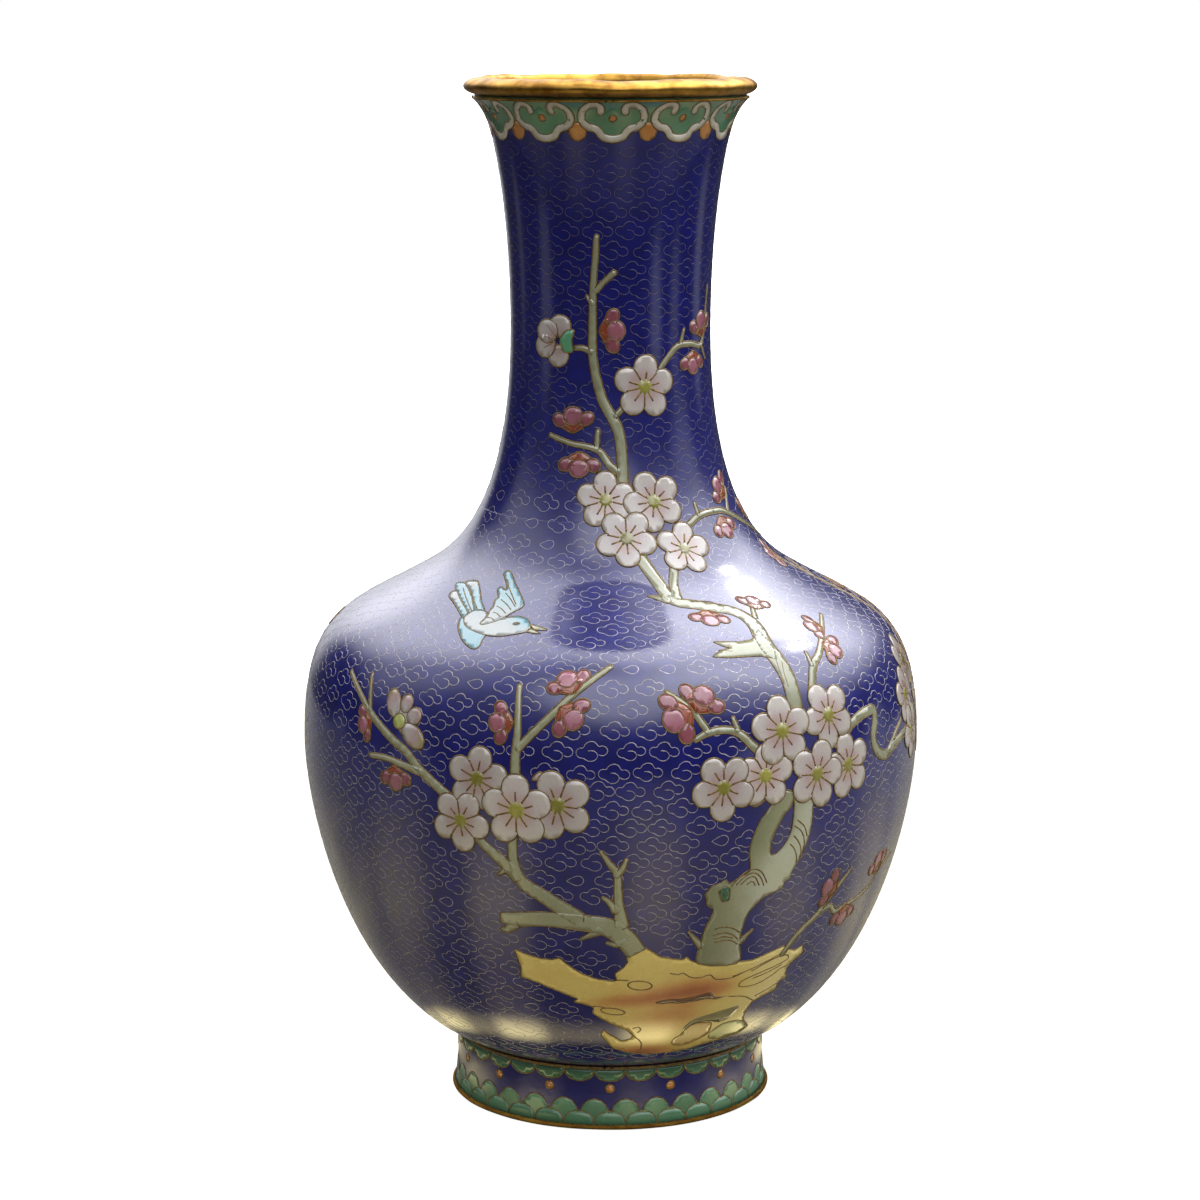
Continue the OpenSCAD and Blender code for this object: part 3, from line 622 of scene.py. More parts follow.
def shoulder_spray():
    """The broken branch on the shoulder, right of the middle, with its stub."""
    zone = "shoulder"
    stems(zone,
          [[10.6, 142, 3.0], [13.4, 138.8, 3.0], [15.4, 136.2, 3.1], [16.8, 133.8, 3.2]],
          [[23.4, 139.6, 2.0], [22.4, 138.4, 2.0], [20.4, 135.8, 2.0], [19.4, 133, 2.4]],
          [[16.8, 132.8, 2.4], [13.8, 133.4, 1.6], [11.2, 133.8, 0.5]],
          [[15.6, 133.6, 2.8], [19, 132.4, 3.3], [23.4, 131.8, 3.4], [28, 131, 3.4], [32.6, 130.2, 3.4],
           [35.2, 128.8, 3.6], [35.6, 127, 3.9], [34.8, 125.2, 4.2], [34.4, 123.2, 4.4], [34.8, 120.8, 4.3],
           [35.3, 117.6, 4.1], [35.4, 114.6, 4.0], [35.4, 109, 4.0]])
    patch([[35.6, 126.6], [32.2, 124.9], [28.8, 124.7], [25.6, 125], [22.6, 125.2], [24.4, 124.2],
           [26.2, 123.8], [23.6, 123.6], [21.0, 122.5], [24.4, 122.1], [28, 122], [31.6, 121.8],
           [34.8, 120.6], [36, 123.4]], "shoulder_stems", 3, group=(zone, "stem"))
    stems(zone,
          [[37.6, 128.4, 1.4], [39.8, 130.2, 0.9]],
          [[39.4, 111, 2.0], [40, 113.4, 2.0], [41.4, 116.6, 1.9], [43, 118.8, 1.8], [45.8, 120.4, 1.5],
           [52.4, 124.2, 1.2], [59, 126.8, 0.8]],
          [[42.4, 118.4, 1.4], [42.8, 121.4, 0.5]])
    buds(zone, (40.6, 130, 63, 0.85), (26, 130.4, 256, 0.95), (49.2, 122, 313, 0.95),
         (53.4, 124.8, 160, 0.85))
    for points in ([[34.6, 121], [34.2, 119], [34, 115.6]], [[35.6, 120.2], [34.9, 118], [34.8, 115]],
                   [[23, 132.4], [28.4, 132.1], [31.4, 130.8], [29.6, 130.3]], [[23, 123.6], [25.8, 123.2]]):
        stroke(points, zone, 3.5, 0.3)


def right_spray():
    """The blossoms and looped twig right of the trunk."""
    zone = "right"
    stems(zone,
          [[27.2, 101, 2.0], [25.6, 103, 1.9], [23, 106.2, 1.7], [20, 107.2, 1.6], [17, 106.6, 1.5],
           [14.8, 105.2, 1.0]],
          [[17.6, 106.6, 1.5], [15, 111.4, 1.4], [12.6, 114.2, 1.2], [10.2, 116.2, 0.9]],
          [[23, 106.6, 1.4], [22.2, 109.8, 0.8]])
    stem([[46, 101.4, 2.1], [48.4, 103.8, 2.2], [51.6, 105.4, 2.3], [55.6, 106, 2.3], [56.4, 104.4, 2.3],
          [56, 102.4, 2.4], [55.2, 99.2, 2.4], [56.4, 95.8, 2.4], [59.6, 94, 2.3], [63.8, 95.6, 2.1],
          [67.6, 96.6, 2.0], [72, 97.5, 1.9]], zone, smooth=3)
    stem([[60.6, 94.6, 1.6], [65, 98.8, 1.2], [67.8, 100.6, 0.6]], zone)
    buds(zone, (14.2, 111.8, 207, 1.2), (15.6, 111.8, 60, 1.1))
    blossoms(zone, (47.2, 94.6, 7.8, 30, 7), (42.8, 107.3, 8.0, 45, 8), (28, 95.6, 7.5, 15, 9),
             (20, 93.8, 7.8, 50, 10), (31.8, 105.5, 8.2, 20, 11), (39.2, 94.1, 8.1, 0, 12))
    for points in ([[33, 99.6], [35.6, 101.4], [37.4, 99.6], [35.2, 97.8]],
                   [[24, 90.6], [26, 88.6], [28, 90.4]], [[43, 100.6], [45, 101.6], [46, 99.8], [44.4, 99]]):
        patch(points, "right_petals", 6.5, smooth=4)


def left_spray():
    """The blossoms and branches left of the trunk, down to the rock."""
    zone = "left"
    stems(zone,
          [[-58.2, 114.4, 1.0], [-53, 110.4, 1.2], [-49.4, 107.2, 1.6], [-45.8, 104.4, 1.8],
           [-42, 101.6, 1.9], [-38.8, 99.6, 1.9], [-36.2, 96.6, 2.0], [-33.4, 94, 2.1], [-28, 89.4, 2.2]],
          [[-51, 115.2, 0.8], [-49.8, 111.2, 1.0], [-48.8, 107, 1.3]],
          [[-48, 96.8, 1.0], [-43.6, 97, 1.3], [-39.2, 96.2, 1.5], [-35.2, 95.2, 1.8]],
          [[-17, 117.2, 1.0], [-16.6, 111.6, 1.4], [-16.4, 106.8, 1.6], [-16.6, 101.8, 2.0],
           [-16.6, 94, 2.3]],
          [[0.2, 121.4, 1.2], [-3.8, 118.4, 1.4], [-7.2, 115.2, 1.5], [-11, 110.4, 1.6], [-13.6, 107, 1.6],
           [-16.4, 103, 1.7]],
          [[-26, 84, 2.0], [-23.2, 80.4, 2.0], [-20.8, 77.6, 2.4], [-19, 75.6, 2.7], [-16.6, 72.2, 3.0]],
          [[-17.2, 84, 2.2], [-17.4, 78.4, 2.2], [-17.2, 75.2, 2.5], [-16.4, 72, 3.0], [-14.6, 69.8, 3.2],
           [-12.2, 68, 3.4], [-9.8, 65.8, 3.7], [-5.6, 62.4, 4.0]],
          [[-19, 74, 1.4], [-20.4, 72.6, 0.5]])
    stem([[-20.9, 61.6, 2.8], [-17.6, 61.5, 3.8], [-14, 62, 3.8], [-10, 62, 3.9], [-6.2, 61.6, 4.2],
          [-2.2, 61, 4.6], [0.8, 59.6, 5.2], [3.2, 56.8, 5.2], [5.2, 53.4, 4.8]], zone, blunt=0)
    for line in ([[-18.2, 60.4, 3.0], [-20, 58.4, 1.5], [-21.2, 58.8, 0.5]],
                 [[-1.8, 59.6, 2.2], [-4, 58.2, 1.2], [-5.6, 57.2, 0.5]],
                 [[3, 56.2, 2.4], [1, 55.8, 1.3], [-0.8, 56.3, 0.5]],
                 [[1.2, 64.4, 2.0], [0, 66.8, 1.4], [-1.5, 68.2, 0.5]],
                 [[1.0, 73.4, 1.5], [2.2, 75.4, 1.3], [2.9, 77.8, 0.8]]):
        stem(line, zone)
    stem([[-1.7, 79.8, 0.6], [-0.2, 76.8, 1.3], [1.2, 74.2, 1.7], [1.4, 70.2, 1.8], [1.6, 66, 2.2],
          [2.2, 60.6, 3.4]], zone)
    buds(zone, (-48.4, 104.8, 207, 0.85), (-41.3, 95.2, 275, 0.95), (-17.7, 109, 184, 0.95),
         (-6.8, 116.2, 117, 1.0), (-8.7, 112.6, 318, 1.05))
    daisy((-40.8, 106.2))
    blossoms(zone, (-23.7, 95.5, 7.6, 10, 8), (-27.1, 85, 7.4, 60, 9), (-9.1, 90.5, 8.2, 35, 10),
             (-16.4, 88.8, 8.5, 20, 11))
    for points in ([[-13.6, 96.2], [-12.2, 98.2], [-10.6, 96.8]],
                   [[-22.6, 90.6], [-21.4, 87.4], [-20.6, 90.4]]):
        patch(points, "left_petals", 6.5, smooth=4)


def daisy(spot):
    """A half-open cream and pink blossom: four petals on one side of a yellow-green heart."""
    shade = distance_shade(spot, 7.5, rng.random(), start=1.15, sign=-1)
    for k, (angle, reach, long, wide) in enumerate(((124, 4.8, 3.4, 2.2), (72, 4.6, 2.2, 1.9),
                                                    (22, 4.7, 2.2, 2.0), (-32, 5.4, 3.9, 2.4))):
        x, y = reach * toward(angle)
        petal = ellipse(x, y, long, wide, angle if k else 112)
        cell_at(spot, petal, "left_petals", 8 + 0.2 * k, tag=shade)
    root = spline([[-1.4, 1.2], [-0.4, 4.2], [2.6, 3.0], [4.6, 0.8], [3.6, -3.2], [0.6, -2.4]], 4,
                  closed=True)
    cell_at(spot, root, "left_petals", 7.6, tag=shade)
    heart = ellipse(0, 0, 1.9, 1.8, count=22)
    cell_at(spot, heart, "left_leaves", 10, tag=(0.85, 0.6))


def side_spray(azimuth, height, flip, zone, seed):
    """A plum branch with blossoms and buds for the back, on the pattern of the front ones."""
    s = -1 if flip else 1
    for route in ([(-24, -40, 3.4), (-20, -30, 3.4), (-13, -20, 3.0), (-7, -10, 2.6), (0, 0, 2.4),
                   (8, 8, 1.8), (16, 17, 1.3), (20, 24, 0.9)],
                  [(-10, -15, 2.0), (-19, -6, 1.7), (-25, 4, 1.4), (-28, 16, 0.9)],
                  [(9, 9, 1.3), (16, 8, 1.1), (22, 12, 0.8)], [(-16, -24, 1.6), (-24, -24, 0.6)]):
        stem([[azimuth + da * s, height + dz, breadth] for da, dz, breadth in route], zone)
    for da, dz, way in ((21, 26, 70), (17, 15, 140), (23, 13, 20), (-28, 18, 100), (-27, 8, 190),
                        (-21, -1, 20)):
        direction = 180 - way if flip else way
        bud((azimuth + da * s, height + dz), direction, zone, 0.95)
    for k, (da, dz, r) in enumerate(((-6, -8, 6.6), (7, 3, 6.8), (-1, 9, 7.0), (-9, 3, 7.0), (0, -1, 7.6))):
        blossom((azimuth + da * s, height + dz), r, 23 * k + seed, 7 + k, zone)


def right_edge():
    """Blossoms and twigs that carry the front branch on round the vase's right side."""
    zone = "side"
    stems(zone,
          [[70, 97, 2.0], [78, 100, 2.2], [88, 96, 2.6], [96, 86, 3.0], [100, 74, 3.3], [98, 62, 3.4],
           [92, 52, 3.2]],
          [[80, 101, 1.8], [88, 110, 1.6], [94, 120, 1.3], [96, 128, 0.9]],
          [[91, 115, 1.2], [98, 118, 0.8]],
          [[80, 139, 0.9], [84, 134, 1.2], [87, 128, 1.4], [87, 121, 1.5], [84, 113, 1.6]],
          [[85.6, 131, 1.1], [90, 135, 0.7]],
          [[99.6, 72, 1.8], [107, 80, 1.5], [113, 90, 1.2], [115, 100, 0.8]],
          [[99, 64, 1.4], [106, 62, 0.6]])
    buds(zone, (94.4, 122, 20, 0.95), (96, 127, 100, 0.95), (98.6, 117.6, 340, 0.95), (81.6, 137, 160, 0.95),
         (113.4, 92, 10, 0.95), (113, 86, 330, 0.95), (115, 99.4, 100, 0.95), (109, 84, 160, 0.95))
    blossoms(zone, (77, 112.8, 6.8, 10, 7), (84, 104.4, 6.8, 40, 8), (72, 105.6, 6.9, 25, 9),
             (87, 93.6, 6.6, 60, 10), (74.6, 96.3, 7.0, 50, 11))


def back_neck():
    """Twigs with blossoms and buds on the back of the neck."""
    zone = "neck"
    stems(zone,
          [[160, 152, 2.4], [166, 160, 2.3], [172, 170, 2.1], [170, 181, 1.9], [176, 192, 1.6],
           [180, 204, 1.3], [178, 214, 0.9]],
          [[171, 176, 1.4], [150, 182, 1.2], [138, 190, 0.9]],
          [[174, 188, 1.3], [192, 193, 1.0], [202, 200, 0.7]],
          [[-122, 146, 1.8], [-116, 156, 1.6], [-112, 168, 1.3], [-116, 180, 0.9]],
          [[-114, 160, 1.2], [-103, 166, 0.8]])
    buds(zone, (138.6, 189.6, 120, 0.95), (148, 182.6, 260, 0.95), (200, 198.6, 20, 0.95),
         (178, 212, 150, 0.95), (-116, 178, 110, 0.95), (-104.6, 165.4, 20, 0.95), (-112, 169, 330, 0.95),
         (-119.4, 152, 190, 0.95))
    blossoms(zone, (188, 181, 7.0, 30, 8), (156, 168, 7.2, 12, 9), (-130, 160, 6.8, 44, 9))


def trunk():
    """The plum trunk, with two limbs round a leaf-shaped gap, a cut knot and bark rings."""
    zone = "trunk"
    patch([[17.8, 49.6], [17.7, 54.8], [18.2, 59], [19.2, 62.4], [19.4, 64], [18, 65.2], [17.9, 67],
           [17.4, 67.9], [18.7, 69.9], [20, 70.3], [21.2, 71.2], [22, 70.1], [23.6, 71.2], [25.6, 72.4],
           [25.9, 74], [25.4, 77.8], [25.8, 80.6], [26.8, 84.2], [28.2, 86.8], [29.5, 89], [29.8, 91.6],
           [33.6, 91], [33.5, 87.6], [32.2, 86], [31, 83.4], [29.9, 80.4], [29.7, 77.8], [29.9, 76.2],
           [31, 76.3], [32.4, 77.9], [33.5, 80.2], [34, 82.8], [34.1, 87.6], [34.2, 91], [38, 90.6],
           [38.3, 86.6], [38.4, 82], [37.8, 78.4], [36.9, 75], [35.9, 72.6], [34.9, 70], [35.1, 69.4],
           [33.9, 68.9], [33.6, 67.6], [32.4, 66.6], [29.6, 65.6], [28.2, 64], [26.9, 62.2], [26.2, 59.6],
           [26, 56.6], [26.2, 53.4], [26.6, 48.4]], "trunk_bark", 5, tag=bark_shade, group=(zone, "stem"),
          smooth=3)
    patch([[20, 68.4], [21.2, 69.7], [22.3, 69], [22.4, 65.8], [20.9, 65.6]], "trunk_knot", 6)
    for line in ([[18, 54.2, 1.8], [16.4, 56.4, 1.1], [14.9, 58.6, 0.4]],
                 [[26, 54.2, 1.8], [27.2, 55.8, 1.1], [28.4, 57.2, 0.4]]):
        stem(line, zone, 5)
    stem([[37.6, 48.4, 1.7], [40.4, 53.6, 1.7], [44.2, 57.4, 1.6], [47, 61.6, 1.4], [49.6, 64.8, 1.1],
          [52.2, 67.8, 0.6]], zone, 4)
    stem([[44.8, 57.8, 1.3], [48, 59, 1.3], [50.2, 56.8, 1.3], [53.8, 57.7, 1.2], [58, 58.4, 1.1],
          [62.6, 60.4, 1.0], [65.4, 64.1, 0.9], [71, 65.9, 0.6]], zone, 4, smooth=3)
    for points in ([[22.4, 69.4], [23.6, 71.1], [25.4, 72.8], [27.2, 73.1], [28.6, 71.8], [29.8, 69.2]],
                   [[23.4, 69.6], [24.8, 71.4], [26.6, 72.3], [28.2, 71], [29.2, 68.6]],
                   [[24.3, 69.6], [25.6, 71], [27, 71.2], [28.2, 68.8]],
                   [[25.6, 69.4], [26.6, 70.2], [27.4, 68.9]],
                   [[20.2, 58.6], [21.9, 59], [23.9, 58.4], [25.6, 57]],
                   [[20, 57], [22.2, 57.5], [24.2, 56.6], [25.5, 55.2]],
                   [[20.6, 55], [22.8, 55.4], [24.4, 54.9], [25.6, 53.8]],
                   [[20.3, 56], [22.4, 56.4], [24.4, 55.7]],
                   [[34.4, 82.6], [36.2, 80.8], [37.1, 78], [37, 75.4]],
                   [[34.4, 80.2], [35.6, 78.6], [36.5, 76.4], [36.5, 74.2]],
                   [[33.8, 78.2], [34.8, 77], [35.6, 75], [35.8, 73.2]],
                   [[34.9, 84], [36.7, 82], [37.6, 79.4]]):
        stroke(points, zone, 5.5, 0.6)
    stroke([[20.5, 68.7], [21.3, 67]], zone, 6.5, 0.5)
    buds(zone, (48.2, 63.2, 160, 0.95), (53.6, 57.4, 275, 0.95), (64.2, 63.4, 110, 0.95))


def bark_shade(spots):
    """Lighter to the right side of the trunk."""
    left = np.interp(heights_of(spots), [48, 62, 70, 80, 92], [18, 19, 18, 26, 30])
    return tagged(np.clip((spots[:, 0] - left) / 10, 0, 1))


def rock_shade(spots):
    """Pale olive yellow, with an orange-brown middle, a brown foot and a pale right arm."""
    azimuth, height = spots[:, 0], heights_of(spots)

    def glow(a, z, wide, tall, slant=0.0):
        return np.exp(-((azimuth - a) / wide) ** 2 - ((height - z - slant * (azimuth - a)) / tall) ** 2)

    warm = 0.9 * glow(19, 42, 9, 2.9) + 0.7 * glow(5, 40.2, 9, 1.7, 0.08) + 0.45 * glow(14, 35, 8, 4.5)
    warm = warm + 1.1 * glow(9, 22.6, 8, 2.4)
    pale = 1 / (1 + np.exp(-(azimuth - 30) / 3))
    return tagged(np.clip(0.3 + 0.62 * warm - 0.25 * pale, 0, 1))


def rock():
    """The garden rock: one broad cell with a crack, a patch of painted shade, a wavy seam, looped wires and
    paler lobes at its foot.
    """
    zone = "rock"
    patch([[-19, 53.4], [-17, 52.4], [-13.8, 51.4], [-11.4, 51.3], [-10, 51.9], [-8.4, 50], [-5.8, 47.8],
           [-2.6, 46.3], [0.8, 45.7], [1.4, 46], [0.9, 47.8], [2.6, 49.4], [3.5, 51], [3, 54], [3.4, 56.2],
           [4.2, 57], [5.8, 55.6], [7.6, 54.2], [10, 52.1], [12.6, 51.4], [14.6, 51], [15.2, 51.7],
           [16.2, 50.6], [19, 49.1], [23.4, 48.3], [24.6, 49], [26.2, 48.8], [30.2, 48.6], [34.2, 50],
           [37.4, 51], [38.6, 50], [41.2, 48.9], [43, 49.8], [44, 47.6], [41, 45.2], [40.8, 42.6],
           [41.8, 41.4], [39.8, 40.4], [40.2, 38.2], [36.4, 36.8], [34.4, 35.6], [33.8, 32.8], [34.6, 30.4],
           [38.4, 27.4], [36.8, 25.4], [32, 24.6], [27, 23.8], [22, 22.6], [17.2, 22], [10.2, 22], [4.8, 23],
           [1, 24.6], [-2.2, 29.2], [-1.6, 31], [-0.2, 29.6], [3, 27.2], [5.4, 28], [5.6, 29.2], [4.2, 30.8],
           [0.4, 33], [-2.2, 34.8], [-3.8, 36.2], [-3.6, 38.2], [-5.2, 38.8], [-8, 39.6], [-6.8, 40.4],
           [-10.8, 42.4], [-15.6, 44.8], [-18.6, 45.8], [-18.2, 48.4]], "rock_body", 2, tag=rock_shade)
    patch([[9.8, 39.3], [12.4, 40], [15.4, 39.9], [18.2, 40.2], [21.4, 41], [22.6, 40.6], [23.6, 39.4],
           [26.8, 39], [24, 38.5], [22.2, 39], [18.8, 38.7], [15.6, 38.5], [13, 38.8], [11, 38.7]],
          "rock_cracks", 4, smooth=3, wired=False)
    # a grey-green patch of painted shade on the rock's lower right
    patch([[18, 28.2], [18.2, 31], [20.2, 33.2], [23.8, 34.2], [27.6, 35], [31, 35.4], [30.4, 32.6],
           [27.6, 31], [24.4, 31.8], [21.8, 31.8], [19.6, 30.6]], "rock_cracks", 3, tag=(0.9, 0.8), smooth=4,
          wired=False)
    patch([[16.4, 25.6], [16.8, 27.4], [18.4, 28.6], [18.8, 30.2], [20.8, 31.6], [24.8, 31.4], [25.6, 29.8],
           [25.8, 27.4], [22.8, 25.4], [20.2, 24.4], [17.8, 24.6]], "rock_middle", 3.5, tag=(0.1, 0.6),
          smooth=4)
    patch([[26.4, 27.6], [27.6, 29.6], [30.2, 30.6], [34.2, 30.2], [37.6, 27.2], [34.6, 25.6], [30.6, 25],
           [27.2, 25.6]], "rock_greens", 3.4, tag=(0.95, 0.4), smooth=4)
    for x, y, rx, ry, turn in ((6.2, 44.4, 2.9, 1.4, -8), (0.6, 36.9, 2.9, 1.1, -12)):
        loop = rooted((x, y), ellipse(0, 0, rx, ry, turn, 24))
        lines.append((np.vstack([loop, loop[:1]]), 4.5, 0.55, zone))
    for points in ([[0.8, 46], [2.2, 46.1], [3.8, 45.9]], [[-3.8, 38.3], [-2.4, 38.4], [-1.2, 38]],
                   [[12.2, 47.5], [14, 47], [15, 47.3], [16.8, 45.9], [19, 45.6], [21, 46.1], [22.6, 44.6],
                    [26.2, 44.4], [28.6, 45.4]], [[26.4, 44.8], [30.8, 46.2], [34.4, 47.7], [38.4, 49.4]],
                   [[34.4, 37.6], [37.2, 38.8], [40, 40.4]],
                   [[30.8, 45.4], [33.8, 47], [37, 48.2], [39.4, 48], [39.8, 46.8], [36.8, 45.6],
                    [32.8, 44.4], [29.2, 43], [29, 41.4], [33, 41.2], [36.6, 42.8], [38.6, 44.4], [40.4, 45]],
                   [[31.8, 43.2], [35.4, 44.2], [38.6, 45.6]],
                   [[5.4, 31.4], [6.8, 31.8], [7.4, 30.8], [6.6, 30]], [[5.6, 29.2], [8, 26.6], [8.4, 24]],
                   [[27, 38.9], [31, 38.2], [34.6, 36.2]]):
        stroke(points, zone, 4.5, 0.5, smooth=5)


def bird():
    """A small bird flying to the right: pale wings and tail raised, white belly, dark almond eye."""
    zone = "bird"
    patch([[-36.6, 127.8], [-41, 129.2], [-45.4, 130.4], [-50, 131.4], [-51.2, 132.1], [-49.6, 132.5],
           [-45, 131.4], [-39.6, 130], [-36.2, 128.8]], "bird_tail_white", 4, tag=tail_shade, smooth=3)
    patch([[-49.2, 132.4], [-53, 133.5], [-52, 134], [-49.6, 134], [-43.2, 132.4], [-36.6, 130],
           [-36.4, 128.6], [-41, 130.2]], "bird_tail_blue", 4.2, tag=(0.3, 0.5), smooth=3)
    patch([[-49.4, 134], [-49.6, 134.5], [-46.6, 134.9], [-44.4, 134.4], [-40.8, 133], [-37.4, 131.4],
           [-33.8, 129.8], [-34.4, 128.6], [-38.4, 130.4], [-44, 132.7]], "bird_tail_white", 4.4,
          tag=tail_shade, smooth=3)
    patch([[-39, 128.5], [-37.6, 127], [-35.2, 125.6], [-32.6, 124.3], [-29.6, 123.3], [-28.5, 123.8],
           [-28.7, 125], [-29, 126.3], [-31.6, 126.6], [-34.6, 127.2], [-37, 128]], "bird_far_wing", 4.8,
          tag=(0.25, 0.5), smooth=3)
    patch([[-19.2, 128], [-20.4, 129], [-22.6, 129.6], [-24.6, 129.6], [-26.4, 129.3], [-29.2, 129],
           [-32, 129.4], [-34, 130], [-36.6, 130], [-38, 129.4], [-38.2, 128.6], [-36.8, 127.6],
           [-34.6, 126.8], [-31.2, 126.2], [-28.2, 125.9], [-25, 126], [-22.2, 126.5], [-19.8, 127],
           [-19, 127.6]], "bird_body_white", 5.5, tag=body_shade, smooth=3)
    patch([[-37.8, 136.9], [-37.4, 137.5], [-35.8, 137.5], [-31.2, 135.3], [-27, 133.4], [-24, 131.6],
           [-25.6, 130.4], [-27, 129.4], [-28.6, 128.4], [-31.2, 127.6], [-32.4, 127.8], [-32.2, 128.7],
           [-32.4, 129.2], [-32.6, 130], [-32.9, 131.2], [-33.8, 132.2], [-33.4, 132.7], [-35.8, 133.9],
           [-35.2, 134.5], [-32.6, 133.8], [-33.8, 135]], "bird_wing_cell", 6.5, tag=wing_shade, smooth=2)
    patch([[-19.6, 128.5], [-17.4, 128.2], [-14.6, 127.6], [-16.8, 127.5], [-18.2, 127.6]], "bird_beak", 6.0,
          tag=(0.9, 0.6))
    patch([[-19.2, 127.7], [-17.6, 127.4], [-16.1, 126.9], [-17.8, 126.9], [-19.6, 127.1]], "bird_beak", 5.8,
          tag=(0.9, 0.6))
    cell_at((-23, 128.3), ellipse(0, 0, 0.85, 0.5, 5, 18), "bird_eye", 7)
    for tip, root in (((-36.2, 136.1), (-26.4, 131.6)), ((-32, 133.4), (-26.2, 131.2)),
                      ((-31.9, 132.2), (-26.8, 130.6)), ((-31.6, 131), (-27.6, 129.9)),
                      ((-31.2, 129.9), (-28.3, 129.2)), ((-31.6, 128.9), (-29.2, 128.5))):
        stroke([list(root), [(tip[0] + root[0]) / 2, (tip[1] + root[1]) / 2 + 0.15], list(tip)], zone, 7, 0.5,
               3)
    for points in ([[-47.4, 131.9], [-37.4, 129.1]], [[-48.4, 133.2], [-37, 129.4]],
                   [[-44.8, 133.1], [-36.6, 130.1]]):
        stroke(points, zone, 5, 0.45, 3)


def body_shade(spots):
    """White underneath, blue-green on the crown and the back."""
    height = heights_of(spots)
    crown = np.exp(-((spots[:, 0] + 21) / 3) ** 2) / (1 + np.exp(-(height - 127.9) / 0.35))
    back = 1 / (1 + np.exp(-(height - 129.2) / 0.4))
    return tagged(np.clip(0.95 - 0.75 * crown - 0.35 * back, 0, 1))


def tail_shade(spots):
    """Blue-green at the root, white at the feather's tip."""
    return tagged(np.clip((-36 - spots[:, 0]) / 12, 0.25, 1))


def wing_shade(spots):
    """Blue-green along the long feathers, white at the wing's root and on the small feathers."""
    return tagged(np.clip(0.85 - (heights_of(spots) - 129.5) / 7, 0.25, 0.9))


# ---------------------------------------------------------------- borders
RUYI_COUNT = 11
RUYI_HEIGHT = 244.6
RUYI_START = 1.0
RUYI_BAND = 0.9


def ruyi_border():
    """Ruyi heads under the lip: a white band curled round green, an amber dot, and drops between."""
    half = [[-2.9, 1.7], [-2.9, 2.9], [-3.8, 3.8], [-5.3, 3.8], [-6.8, 2.7], [-7.5, 0.7], [-7.0, -1.1],
            [-5.6, -2.2], [-4.1, -2.6], [-3.2, -3.4], [-2.3, -4.6], [0, -5.1]]
    mirrored = [[-x, y] for x, y in half[-2::-1]]
    centre = spline(half + mirrored, 5)
    band = resampled(centre, 0.5)
    ahead = np.gradient(band, axis=0)
    ahead /= np.hypot(*ahead.T)[:, None]
    normal = np.column_stack([-ahead[:, 1], ahead[:, 0]])
    half_turn = np.linspace(0, math.pi, 7)
    cap = [band[0] + RUYI_BAND * (np.cos(a) * normal[0] - np.sin(a) * ahead[0]) for a in half_turn][::-1]
    end = [band[-1] + RUYI_BAND * (np.cos(a) * normal[-1] + np.sin(a) * ahead[-1]) for a in half_turn]
    shift = RUYI_BAND * normal[1:-1]
    stroke_line = np.vstack([cap, band[1:-1] + shift, end, (band[1:-1] - shift)[::-1]])
    fill = resampled(np.vstack([centre, [[2.0, 1.6], [0, 3.2], [-2.0, 1.6]]]), OUTLINE_STEP, closed=True)
    dot, drop = ellipse(0, 0, 0.9, count=18), ellipse(0, -3.3, 2.1, 2.3, count=24)
    for k in range(RUYI_COUNT):
        spot = (RUYI_START + 360 * k / RUYI_COUNT, RUYI_HEIGHT)
        between = (spot[0] + 180 / RUYI_COUNT, RUYI_HEIGHT)
        cell_at(spot, fill, "ruyi_greens", 3, tag=(0.5, rng.random()), wired=False)
        cell_at(spot, stroke_line, "ruyi_bands", 4, tag=(0.95, rng.random()))
        cell_at(spot, dot, "ruyi_amber_dots", 5, tag=(0.5, rng.random()))
        cell_at(between, drop, "ruyi_amber_drops", 2, tag=(0.5, rng.random()))


SCALES = 32
# base height, breadth and rise of the foot border's scales
HANGING_SCALE = (15.3, 7.6, -3.1)
TALL_SCALE = (RIM_TOP, 7.8, 6.5)
LOW_SCALE = (RIM_TOP, 7.7, 3.5)
FOOT_DOT_HEIGHT, FOOT_DOT_RADIUS = 10.4, 1.05


def scale_cell(azimuth, size, piece, level):
    """A half-round scale standing on the foot, or hanging where its rise is negative."""
    base, breadth, rise = size
    a = np.radians(np.linspace(0, 180, 15))
    arch = np.column_stack([breadth / 2 * np.cos(a), base + rise * np.sin(a) ** 0.8])
    line = resampled(arch[::-1] if rise < 0 else arch, 0.6, closed=True)
    Cell(FOOT, FOOT.rolled(line, azimuth), piece, level, tag=scale_shade(base, rise))


def foot_pattern():
    """Two rows of rising scales, one row of hanging scales and dots between, round the foot."""
    dot = ellipse(0, FOOT_DOT_HEIGHT, FOOT_DOT_RADIUS, count=18)
    for k in range(SCALES):
        azimuth = 360 * k / SCALES
        scale_cell(azimuth, HANGING_SCALE, "foot_hanging_scales", 3)
        scale_cell(azimuth + 180 / SCALES, TALL_SCALE, "foot_tall_scales", 3)
        scale_cell(azimuth, LOW_SCALE, "foot_low_scales", 4)
        if k % 2 == 0:
            Cell(FOOT, FOOT.rolled(dot, azimuth), "foot_amber_dots", 3, tag=(0.5, rng.random()))


def scale_shade(base, rise):
    """Paler towards the scale's rounded edge."""
    tone = rng.random()
    return lambda spots: tagged(np.clip((spots[:, 1] - base) / rise, 0, 1), tone)


